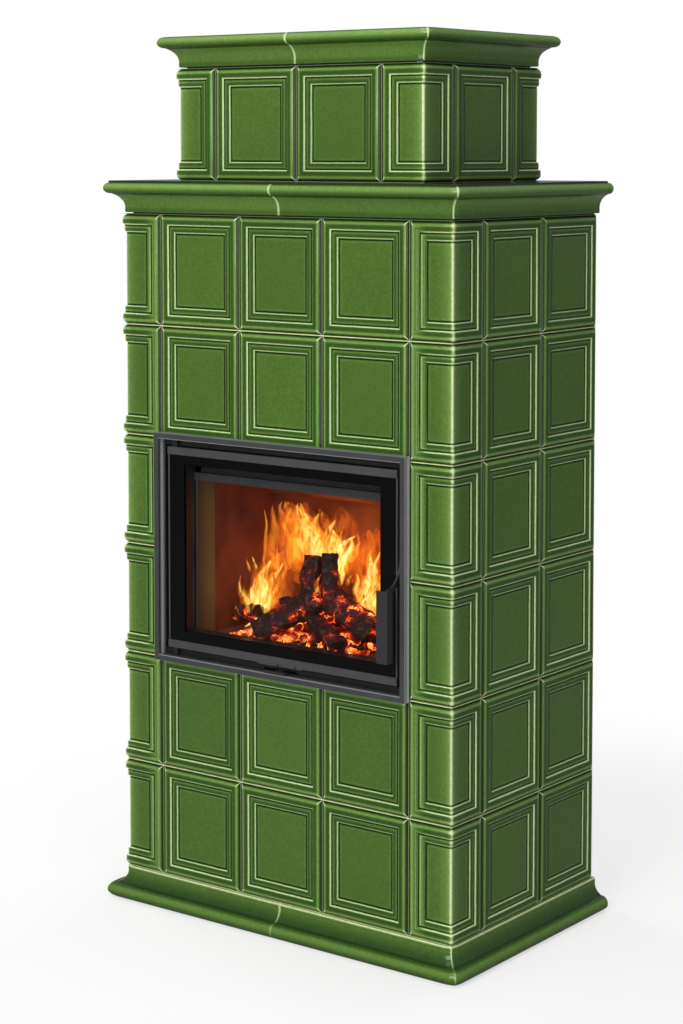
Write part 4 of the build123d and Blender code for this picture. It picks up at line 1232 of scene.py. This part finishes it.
@dataclass(frozen=True)
class Char:
    """Burning wood: black scales of char, a red heart and glowing cracks."""

    name: str
    glow: float = 4.0
    cracks: float = 60.0
    open_at: float = 0.36
    heart: float = 0.9
    swirls: float = 34.0
    patches: float = 24.0
    ashes: float = 70.0
    bend: float = 0.03
    dark: Colour = (40, 15, 12)
    ash: Colour = (104, 52, 42)
    heat: tuple[tuple[float, Colour], ...] = (
        (0.0, (60, 8, 10)),
        (0.25, (176, 26, 10)),
        (0.55, (246, 96, 20)),
        (1.0, (255, 206, 110)),
    )

    def make(self) -> Finish:
        """Mix the finish.

        Returns:
            The finish.
        """
        r = Recipe(self.name)
        swirl = r.node("TexNoise", {"Scale": self.swirls, "Detail": 3.0}).outputs["Color"]
        inputs = {"Vector": r.moved(swirl, (self.bend,) * 3), "Scale": self.cracks}
        crack = r.node("TexVoronoi", inputs, feature="DISTANCE_TO_EDGE").outputs[0]
        patch = r.scaled(r.read("heat"), 0.42, r.noise(self.patches, 3.0))
        where = r.spread(patch, self.open_at + 0.14, self.open_at + 0.4)
        ember = r.times(where, r.fade(crack, 0.0, 0.12))
        red = r.times(r.spread(patch, self.open_at, self.open_at + 0.5), self.heart)
        ashen = r.spread(r.noise(self.ashes, 4.0), 0.54, 0.7)
        stops = [(at, paint(*colour)) for at, colour in self.heat]
        r.set(Base_Color=r.mix(ashen, paint(*self.dark), paint(*self.ash)), Roughness=0.8)
        r.set(Emission_Color=r.ramp(r.most(ember, r.times(red, 0.3)), stops))
        r.set(Emission_Strength=r.scaled(ember, self.glow, r.times(red, 0.5)))
        r.set(Normal=r.bump(crack, 0.004, 0.8))
        return r.material


@dataclass(frozen=True)
class Flame:
    """Flame: clear at its outline and tip, pale yellow in its heart."""

    name: str
    strength: float = 1.8
    densest: float = 0.97
    wisps: float = 62.0
    drawn_up: float = 0.34
    heat: tuple[tuple[float, Colour], ...] = (
        (0.0, (200, 62, 12)),
        (0.13, (238, 112, 24)),
        (0.29, (253, 178, 54)),
        (0.48, (255, 232, 124)),
        (0.78, (255, 250, 224)),
    )

    def make(self) -> Finish:
        """Mix the finish.

        Returns:
            The finish.
        """
        r = Recipe(self.name)
        rise, across, hot = r.read("heat"), r.read("across"), r.read("hot")
        drawn = r.node("Mapping", {"Vector": r.place(), "Scale": (1.0, 1.0, self.drawn_up)}).outputs[0]
        wisp = r.node("TexNoise", {"Vector": drawn, "Scale": self.wisps, "Detail": 3.0, "Distortion": 1.4})
        torn = r.spread(wisp.outputs["Fac"], 0.34, 0.6, 0.16, 1.25)
        edge = r.scaled(r.times(across, across), -1.0, 1.0)
        fade = r.times(r.fade(rise, 0.2, 1.0), r.spread(rise, 0.0, 0.12, 0.25, 1.0))
        cover = r.times(r.times(edge, fade), torn)
        thick = r.sum("MINIMUM", r.times(cover, r.scaled(hot, 1.0, 0.42)), self.densest)
        dense = r.times(cover, r.scaled(hot, 1.7, 0.12))
        stops = [(at, paint(*colour)) for at, colour in self.heat]
        r.set(Base_Color=BLACK, Roughness=1.0, Specular_IOR_Level=0.0, Alpha=thick)
        r.set(Emission_Color=r.ramp(dense, stops), Emission_Strength=self.strength)
        return r.material


@dataclass(frozen=True)
class Billet:
    """A split log: its ends and radius in metres, the share split away and its roll in degrees."""

    start: tuple[float, float, float]
    end: tuple[float, float, float]
    radius: float
    split: float
    roll: float


BILLETS = (
    Billet((-0.121, -0.182, 0.622), (0.012, -0.118, 0.702), 0.026, 0.4, 20),
    Billet((-0.021, -0.124, 0.690), (-0.022, -0.100, 0.786), 0.025, 0.45, 80),
    Billet((0.031, -0.116, 0.692), (0.018, -0.098, 0.795), 0.018, 0.3, 200),
    Billet((-0.092, -0.128, 0.660), (0.000, -0.060, 0.690), 0.030, 0.3, 10),
    Billet((-0.262, -0.072, 0.630), (-0.180, -0.086, 0.642), 0.019, 0.4, 60),
    Billet((0.022, -0.108, 0.702), (0.172, -0.146, 0.650), 0.030, 0.3, 150),
    Billet((0.010, -0.150, 0.660), (0.110, -0.190, 0.622), 0.022, 0.4, 100),
    Billet((-0.150, 0.010, 0.628), (0.170, -0.010, 0.632), 0.034, 0.3, 30),
)


@dataclass(frozen=True)
class Tongue:
    """A tongue of flame, in mm: foot, tip, breadth and sway, and how hot it is from 0 to 1."""

    foot: tuple[float, float, float]
    tip: tuple[float, float, float]
    breadth: float
    sway: float
    hot: float


# The tongues, each as its foot, tip, breadth, sway and heat
TONGUES = (
    ((-110, -30, 700), (-118, -25, 900), 44, 12, 0.2),
    ((-10, -30, 740), (-20, -25, 884), 46, 12, 0.26),
    ((70, -35, 720), (84, -30, 850), 34, 10, 0.22),
    ((-200, -45, 640), (-196, -40, 790), 30, 10, 0.26),
    ((18, -92, 745), (52, -82, 812), 19, 6, 1.0),
    ((-8, -62, 752), (-4, -55, 838), 20, 6, 0.95),
    ((-186, -84, 636), (-176, -76, 716), 21, 6, 1.0),
    ((-206, -86, 632), (-214, -78, 700), 15, 6, 0.95),
    ((124, -110, 664), (116, -100, 752), 24, 6, 1.0),
    ((142, -112, 656), (142, -104, 724), 20, 5, 1.0),
    ((-136, -50, 736), (-132, -40, 901), 22, 11, 0.42),
    ((-86, -60, 757), (-148, -50, 893), 19, 9, 0.4),
    ((-158, -70, 736), (-178, -60, 877), 12, 8, 0.34),
    ((-75, -45, 767), (-97, -35, 889), 17, 9, 0.5),
    ((-39, -50, 772), (-65, -40, 867), 16, 9, 0.62),
    ((-100, -55, 807), (-124, -45, 914), 14, 9, 0.36),
    ((-4, -60, 766), (-16, -50, 858), 16, 8, 0.78),
    ((28, -85, 759), (68, -75, 831), 11, 6, 0.95),
    ((34, -75, 744), (22, -65, 842), 11, 6, 0.9),
    ((-15, -70, 778), (-63, -60, 840), 11, 6, 0.85),
    ((41, -60, 772), (65, -50, 823), 8, 5, 0.5),
    ((-89, -80, 760), (-120, -70, 843), 12, 8, 0.55),
    ((-194, -90, 642), (-162, -80, 770), 12, 8, 0.92),
    ((-229, -80, 640), (-260, -70, 713), 9, 6, 0.85),
    ((-185, -75, 644), (-146, -65, 755), 10, 6, 0.7),
    ((-234, -90, 626), (-277, -80, 664), 6, 5, 0.8),
    ((-220, -70, 654), (-220, -60, 757), 10, 6, 0.8),
    ((-172, -70, 675), (-126, -60, 753), 7, 6, 0.55),
    ((-243, -100, 619), (-290, -90, 630), 4, 2, 0.7),
    ((-176, -100, 702), (-175, -90, 756), 6, 4, 0.6),
    ((-166, -60, 696), (-169, -50, 784), 6, 5, 0.45),
    ((117, -105, 662), (115, -95, 806), 12, 8, 1.0),
    ((137, -100, 674), (138, -90, 812), 11, 6, 0.85),
    ((96, -100, 698), (78, -90, 758), 7, 5, 0.7),
    ((144, -120, 657), (105, -110, 729), 10, 5, 1.0),
    ((70, -110, 732), (78, -100, 764), 4, 3, 0.6),
    ((138, -90, 701), (140, -80, 771), 8, 4, 0.9),
    ((8, -135, 693), (8, -125, 756), 5, 4, 0.75),
    ((-1, -140, 664), (-23, -130, 702), 4, 3, 0.6),
    ((-53, -120, 654), (-101, -110, 694), 4, 4, 0.6),
    ((47, -150, 643), (30, -140, 671), 4, 4, 0.9),
    ((52, -110, 730), (51, -100, 782), 6, 4, 0.9),
    ((61, -145, 672), (75, -135, 701), 3, 3, 0.6),
    ((-136, -150, 619), (-51, -140, 644), 5, 3, 0.95),
    ((-194, -130, 615), (-160, -120, 640), 4, 3, 0.9),
    ((-184, -160, 614), (-108, -150, 624), 4, 2, 0.95),
    ((-207, -50, 742), (-203, -40, 865), 4, 5, 0.4),
    ((51, -50, 786), (51, -40, 842), 4, 3, 0.35),
    ((-229, -70, 720), (-245, -60, 751), 3, 2, 0.45),
    ((-150, -50, 823), (-162, -40, 884), 7, 5, 0.3),
    ((-30, -50, 835), (-47, -40, 880), 10, 6, 0.32),
    ((112, -90, 770), (118, -80, 826), 7, 4, 0.4),
    ((-28, -80, 755), (-70, -74, 872), 21, 7, 0.95),
    ((0, -84, 776), (62, -76, 836), 15, 5, 1.0),
    ((-64, -74, 780), (-104, -66, 888), 19, 8, 0.7),
    ((-92, -56, 735), (-140, -46, 886), 56, 12, 0.24),
    ((60, -58, 726), (76, -48, 846), 40, 9, 0.2),
    ((-186, -58, 640), (-166, -48, 772), 36, 9, 0.36),
    ((128, -104, 650), (122, -94, 786), 26, 7, 0.5),
)


@dataclass
class Fire:
    """Burning logs on the grate, their embers and the flames."""

    seed: int = 23
    log_sides: int = 28
    log_step: float = 0.006
    second_split: tuple[float, float] = (1.9, 0.7)
    lump_grain: float = 0.03
    lump_depth: float = 0.010
    scale_grain: float = 0.018
    scale_depth: float = -0.006
    log_heat: tuple[float, float] = (0.78, 0.13)
    ember_kinds: int = 4
    ember_facets: int = 5
    embers: int = 150
    ember_size: tuple[float, float] = (0.006, 0.014)
    bed_x: tuple[float, float] = (-0.2, 0.215)
    bed_y: tuple[float, float] = (-0.2, 0.02)
    bed_z: float = 0.602
    heap_at: float = 0.06
    heap_high: float = 0.02
    rings: int = 14
    sides: int = 12
    ceiling: float = 886.0
    spread: float = 1.45
    chance: random.Random = field(default_factory=random.Random)

    def billet(self, plan: Billet) -> Piece:
        """One charred log.

        Args:
            plan: Its place and size.

        Returns:
            The log.
        """
        start, end = Vector(plan.start), Vector(plan.end)
        run = end - start
        put_down()
        bpy.ops.mesh.primitive_cylinder_add(vertices=self.log_sides, radius=plan.radius, depth=run.length)
        piece = settle(bpy.context.object, "log")
        with shaping(piece, "EDGE") as bench:
            for turn, depth in ((0.0, 1.0), self.second_split):
                angle = radians(plan.roll) + turn
                normal = (cos(angle), sin(angle), 0)
                bench.saw([c * plan.radius * (1 - plan.split * depth) for c in normal], normal, True)
            steps = max(6, int(run.length / self.log_step))
            for i in range(1, steps):
                bench.saw((0, 0, (i / steps - 0.5) * run.length), (0, 0, 1))
            bench.weld()
        shift = Matrix.Translation([self.chance.uniform(0, 3) for _ in range(3)])
        piece.data.transform(shift)
        self.char_relief(piece)
        piece.data.transform(shift.inverted())
        aim = run.to_track_quat("Z", "Y").to_matrix().to_4x4()
        piece.data.transform(Matrix.Translation((start + end) / 2) @ aim)
        return piece

    def char_relief(self, piece: Piece) -> None:
        """Give a log its lumps and the scales of its char.

        Args:
            piece: The log.
        """
        soft = piece.modifiers.new("finer", "SUBSURF")
        soft.subdivision_type = "SIMPLE"
        soft.levels = soft.render_levels = 1
        lumps = bpy.data.textures.new("log_lumps", "CLOUDS")
        scales = bpy.data.textures.new("char_scales", "VORONOI")
        lumps.noise_scale, scales.noise_scale = self.lump_grain, self.scale_grain
        scales.distance_metric = "DISTANCE"
        for texture, depth in ((lumps, self.lump_depth), (scales, self.scale_depth)):
            relief = piece.modifiers.new("relief", "DISPLACE")
            relief.texture, relief.strength, relief.mid_level = texture, depth, 0.5
        pick_up(piece)
        for name in [m.name for m in piece.modifiers]:
            bpy.ops.object.modifier_apply(modifier=name)
        for texture in (lumps, scales):
            bpy.data.textures.remove(texture)

    def tongue(self, plan: Tongue) -> Piece:
        """One thin tongue of flame, drawn up ring by ring from its foot.

        Args:
            plan: Its place and size.

        Returns:
            The tongue, marked with its rise, with how far out a point lies, and with its heat.
        """
        foot, tip = Vector(plan.foot) * MM, Vector((*plan.tip[:2], min(plan.tip[2], self.ceiling))) * MM
        put_down()
        bpy.ops.mesh.primitive_circle_add(vertices=self.sides, radius=1.0, fill_type="NGON")
        piece = settle(bpy.context.object, "tongue")
        phase, flat = self.chance.uniform(0, FULL_TURN), self.chance.uniform(0.14, 0.26)
        turn, spin = self.chance.uniform(0.2, 1.0), self.chance.uniform(-0.5, 0.5)
        with shaping(piece, "FACE") as bench:
            bpy.ops.mesh.select_all(action="SELECT")
            for _ in range(self.rings):
                bench.extrude((0, 0, 1))
            bench.weld(1e-6)
        mark(piece, "heat", lambda p: p.z / self.rings)
        mark(piece, "across", lambda p: abs(p.x))
        mark(piece, "hot", lambda p: plan.hot)
        for vertex in piece.data.vertices:
            rise = vertex.co.z / self.rings
            wide = plan.breadth * self.spread * MM * (0.04 + sin(pi * rise**0.62) ** 0.85)
            angle = turn + spin * rise
            x, y = vertex.co.x * wide, vertex.co.y * wide * flat
            x, y = x * cos(angle) - y * sin(angle), x * sin(angle) + y * cos(angle)
            sway = plan.sway * MM * rise * (sin(phase + rise * 5.0) + 0.4 * sin(phase * 2 + rise * 11.0))
            vertex.co = foot.lerp(tip, rise) + Vector((x + sway, y + sway * 0.5, 0))
        return piece

    def ember(self) -> Piece:
        """A lump of glowing charcoal, one metre in radius.

        Returns:
            The lump.
        """
        put_down()
        bpy.ops.mesh.primitive_ico_sphere_add(subdivisions=2, radius=1.0)
        lump = settle(bpy.context.object, "ember")
        with shaping(lump, "VERT") as bench:
            for _ in range(self.ember_facets):
                aim = Vector([self.chance.uniform(-1, 1) for _ in range(3)]).normalized()
                bench.saw(aim * self.chance.uniform(0.55, 0.8), aim, True)
            bench.weld(1e-4)
        return lump

    def ember_place(self) -> Matrix:
        """Where one lump of the bed lies.

        Returns:
            Its place, turn and size.
        """
        size, x, y = (self.chance.uniform(*ends) for ends in (self.ember_size, self.bed_x, self.bed_y))
        heap = max(0.0, self.heap_high - abs(x - self.heap_at) * 0.08) * self.chance.random()
        turn = self.chance.uniform(0, FULL_TURN)
        aim = Matrix.Rotation(turn, 4, Vector([self.chance.uniform(-1, 1) for _ in range(3)]))
        stretch = Matrix.Diagonal((size * 1.3, size, size * 0.8, 1))
        return Matrix.Translation((x, y, self.bed_z + size * 0.6 + heap)) @ aim @ stretch

    def lay_logs(self) -> None:
        """Lay the logs on the grate."""
        pile = joined("burning_logs", [self.billet(plan) for plan in BILLETS])
        low, over = self.log_heat
        mark(pile, "heat", lambda p: max(0.15, min(1.0, (low - p.z) / over)))
        smooth(pile, 50)
        coat(pile, Char("charred_wood").make())
        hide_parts("firewood")
        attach(pile, "grate")
        log.info("burning_logs: %d logs", len(BILLETS))

    def lay_embers(self) -> None:
        """Strew the ember bed round the logs."""
        patterns = [self.ember() for _ in range(self.ember_kinds)]
        lumps = [again(patterns[i % self.ember_kinds], self.ember_place()) for i in range(self.embers)]
        drop(*patterns)
        bed = joined("ember_bed", lumps)
        mark(bed, "heat", lambda p: 1.0 if p.x < -0.02 else max(0.45, 0.95 - (p.x + 0.02) * 3.4))
        coat(bed, Char("glowing_embers", 4.2, 110.0, 0.22, 1.5).make())
        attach(bed, "grate")
        log.info("ember_bed: %d embers", self.embers)

    def light(self) -> None:
        """Light the fire."""
        flames = joined("flames", [self.tongue(Tongue(*plan)) for plan in TONGUES])
        smooth(flames, 180)
        coat(flames, Flame("flame").make())
        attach(flames, "grate")
        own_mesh(flames)
        log.info("flames: %d tongues", len(TONGUES))

    def build(self) -> None:
        """Lay the logs and the embers, and light them."""
        self.chance.seed(self.seed)
        self.lay_logs()
        self.lay_embers()
        self.light()


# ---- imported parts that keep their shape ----

# Each finish, the radius of its parts' edges in mm, and the parts
CARRIED = (
    (Mortar("joint_mortar"), 0.0, ("tile_mortar",)),
    (Metal("dark_glazed_slab", (34, 56, 20), 0.08), 0.5, ("shoulder_slabs", "crown_slabs")),
    (FramePaint("dark_grey_paint"), 2.0, ("facing_frame",)),
    (Metal("black_steel_edge", (20, 20, 21), 0.34), 0.4, ("door_surround", "front_sill")),
    (Metal("door_steel", (18, 23, 27), 0.34), 0.4, ("door_frame",)),
    (Metal("brushed_grey_steel", (66, 66, 68), 0.4), 0.5, ("door_rails",)),
    (Metal("pale_steel_edge", (98, 98, 101), 0.34, 0.6), 0.2, ("door_trims",)),
    (Metal("warm_grey_steel", (52, 51, 52), 0.45), 0.4, ("air_deflector",)),
    (Metal("handle_grey", (44, 44, 46), 0.32), 0.5, ("door_handle", "air_lever")),
    (Metal("blued_steel", (44, 44, 46), 0.34, 0.5), 0.4, ("hinge_pins", "rail_screws", "surround_screws")),
    (Metal("bright_steel", (150, 150, 152), 0.3, 1.0), 0.4, ("handle_pin", "latch_pin", "latch_roller")),
    (HeatTint("heat_tinted_steel"), 0.4, ("firebox_cheeks",)),
    (
        Metal("black_steel", (17, 17, 18), 0.34),
        0.0,
        (
            *("firebox_front", "firebox_shell", "air_plate", "air_guide"),
            *("ash_chamber", "ash_pan", "flue_duct", "support_frame"),
        ),
    ),
    (Metal("cast_iron", (40, 38, 37), 0.6, 0.3, 240.0, 0.0004), 0.8, ("cast_grate",)),
    (Clay("braided_seal", (60, 58, 54), (30, 29, 27), 700.0), 0.0, ("glass_seal", "door_seal")),
    (
        Clay("fireclay", (112, 58, 34), (84, 40, 22)),
        0.6,
        ("fireclay_sides", "fireclay_back", "fireclay_floor", "baffle_plate"),
    ),
    (Clay("back_board", (150, 148, 142), (139, 137, 131)), 0.0, ("rear_panel",)),
    (Clay("mineral_wool", (190, 170, 110), (150, 130, 80), 500.0, 0.001), 0.0, ("rear_insulation",)),
    (WindowGlass("bordered_glass"), 0.0, ("door_glass",)),
)


@dataclass
class CarriedParts:
    """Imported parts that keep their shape, with rounded edges and their own finishes."""

    crease: float = 35.0
    level_within: float = 1.0

    def round_edges(self, part: Piece, radius: float) -> None:
        """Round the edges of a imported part.

        Args:
            part: The part.
            radius: Radius of its edges in mm.
        """
        part.modifiers.new("weld", "WELD").merge_threshold = 1e-5
        flat = part.modifiers.new("flat", "DECIMATE")
        flat.decimate_type, flat.angle_limit = "DISSOLVE", radians(self.level_within)
        rounded = part.modifiers.new("rounded", "BEVEL")
        rounded.width, rounded.segments = radius * MM, 2
        rounded.limit_method, rounded.angle_limit = "ANGLE", radians(self.crease)
        rounded.harden_normals = False

    def build(self, nodes: dict[str, Piece]) -> None:
        """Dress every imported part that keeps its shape.

        Args:
            nodes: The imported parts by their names.
        """
        for plan, radius, names in CARRIED:
            finish = plan.make()
            for name in names:
                coat(nodes[name], finish)
                if radius:
                    self.round_edges(nodes[name], radius)
                log.info("%s: carried over", name)


# ---- studio ----


@dataclass
class Studio:
    """Camera, floor, backdrop and soft light."""

    eye: tuple[float, float, float] = (2.935, -3.9155, 1.659)
    yaw: float = 37.11
    pitch: float = 3.80
    lens: float = 79.6
    sensor: float = 36.0
    shift: float = -0.207
    aim: tuple[float, float, float] = (0.0, 0.0, 0.9)
    ambient: float = 0.2
    mirrored: float = 0.24
    floor_size: float = 40.0
    floor_shade: Shade = (0.7, 0.7, 0.7, 1)
    shadow_shade: Shade = (0.42, 0.42, 0.42, 1)
    floor_glow: float = 0.6
    shadow_reach: tuple[float, float] = (1.1, 2.1)
    fire_light: Colour = (1.0, 0.42, 0.12)

    def camera(self) -> None:
        """Stand the camera where the photograph was taken."""
        data = bpy.data.cameras.new("camera")
        data.lens, data.sensor_width, data.shift_y = self.lens, self.sensor, self.shift
        data.clip_end = 60.0
        camera = self.hang(bpy.data.objects.new("camera", data), self.eye)
        camera.rotation_euler = (radians(90 - self.pitch), 0, radians(self.yaw))
        bpy.context.scene.camera = camera

    @staticmethod
    def hang(thing: Piece, at: Point) -> Piece:
        """Put a camera or a lamp in its place.

        Args:
            thing: The camera or the lamp.
            at: Its place.

        Returns:
            The same thing.
        """
        thing.location = at
        bpy.context.scene.collection.objects.link(thing)
        return thing

    def lamp(self, name: str, azimuth: float, at: Point, size: Point, power: float, gloss: bool = True) -> None:
        """A soft rectangular lamp that looks at the stove.

        Args:
            name: Its name.
            azimuth: Its bearing from the front towards +X, in degrees.
            at: Its distance and height.
            size: Its width and height.
            power: In watts.
            gloss: Whether it shows in glossy surfaces.
        """
        data = bpy.data.lights.new(name, "AREA")
        data.shape, data.size, data.size_y, data.energy = "RECTANGLE", size[0], size[1], power
        away, bearing = at[0], radians(azimuth)
        place = (away * sin(bearing), -away * cos(bearing), at[1])
        lamp = self.hang(bpy.data.objects.new(name, data), place)
        lamp.rotation_euler = (Vector(self.aim) - lamp.location).to_track_quat("-Z", "Y").to_euler()
        lamp.visible_camera = False
        lamp.visible_glossy = gloss

    def glow(self, at: Point, power: float) -> None:
        """A small warm lamp within the fire, itself unseen.

        Args:
            at: Its place.
            power: In watts.
        """
        data = bpy.data.lights.new("fire_glow", "POINT")
        data.shadow_soft_size, data.energy, data.color = 0.05, power, self.fire_light
        lamp = self.hang(bpy.data.objects.new("fire_glow", data), at)
        lamp.visible_camera = lamp.visible_glossy = False

    def world(self) -> None:
        """Even light from all round, white to the eye."""
        world = bpy.data.worlds.new("studio")
        bpy.context.scene.world = world
        world.use_nodes = True
        n = Nodes(world.node_tree)
        rays = n.node("LightPath").outputs
        seen = n.most(rays["Is Camera Ray"], rays["Is Transmission Ray"])
        gloss = n.times(rays["Is Glossy Ray"], self.mirrored)
        plain = n.most(gloss, n.times(rays["Is Diffuse Ray"], self.ambient))
        backdrop_light = n.node("Background", {"Color": WHITE, "Strength": n.most(seen, plain)})
        n.node("OutputWorld", {0: backdrop_light.outputs[0]})

    def floor(self) -> None:
        """A pale floor that is white to the eye and keeps a soft shadow."""
        put_down()
        bpy.ops.mesh.primitive_plane_add(size=self.floor_size)
        floor = settle(bpy.context.object, "studio_floor")
        r = Recipe("pale_floor")
        r.set(Base_Color=self.floor_shade, Roughness=0.9, Specular_IOR_Level=0.0)

        def light(colour: Shade, strength: float) -> Socket:
            """Light of the floor's own."""
            return r.node("Emission", {"Color": colour, "Strength": strength}).outputs[0]

        def blend(share: Socket, a: Socket, b: Socket) -> Socket:
            """Two shaders mixed."""
            return r.node("MixShader", {0: share, 1: a, 2: b}).outputs[0]

        rays = r.node("LightPath").outputs
        seen = r.most(r.most(rays["Is Camera Ray"], rays["Is Glossy Ray"]), rays["Is Transmission Ray"])
        shadow = r.node("BsdfDiffuse", {"Color": self.shadow_shade}).outputs[0]
        pale = r.node("AddShader", {0: shadow, 1: light(WHITE, self.floor_glow)}).outputs[0]
        dim = r.times(rays["Is Glossy Ray"], 1 - self.mirrored)
        near_by = blend(dim, blend(seen, r.shader.outputs[0], pale), light(BLACK, 0.0))
        away = r.node("VectorMath", {0: r.place(), 1: (0.0, 0.0, 0.0)}, operation="DISTANCE").outputs["Value"]
        far = r.times(r.spread(away, *self.shadow_reach), rays["Is Camera Ray"])
        r.feed(r.output.inputs["Surface"], blend(far, near_by, light(WHITE, 1.0)))
        coat(floor, r.material)

    def build(self) -> None:
        """Set the studio up."""
        scene = bpy.context.scene
        scene.view_settings.view_transform = "Standard"
        scene.cycles.transparent_max_bounces = 32
        self.camera()
        self.world()
        self.floor()
        self.lamp("key_lamp", 8, (5.0, 3.2), (3.0, 3.6), 200)
        self.lamp("strip_lamp", 52, (4.4, 1.1), (0.5, 2.3), 15)
        self.lamp("top_lamp", 10, (0.7, 5.0), (3.0, 3.0), 54)
        self.lamp("left_lamp", -100, (4.8, 2.2), (2.2, 2.2), 85, gloss=False)
        self.lamp("back_lamp", 178, (4.8, 2.4), (2.2, 2.2), 85, gloss=False)
        self.glow((-0.02, -0.05, 0.80), 1.0)
        self.glow((-0.17, -0.06, 0.70), 0.3)
        self.glow((0.15, -0.06, 0.72), 0.5)
        log.info("studio: camera, floor and lamps")


def main() -> None:
    """Dress the stove."""
    logging.basicConfig(level=logging.INFO, format="%(name)s: %(message)s")
    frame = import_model()
    Studio().build()
    glaze = Glaze("green_glaze").make()
    TileWork(glaze=glaze).build()
    Mouldings(glaze=glaze).build()
    CarriedParts().build(frame["nodes"])
    Fire().build()


if __name__ == "__main__":
    main()
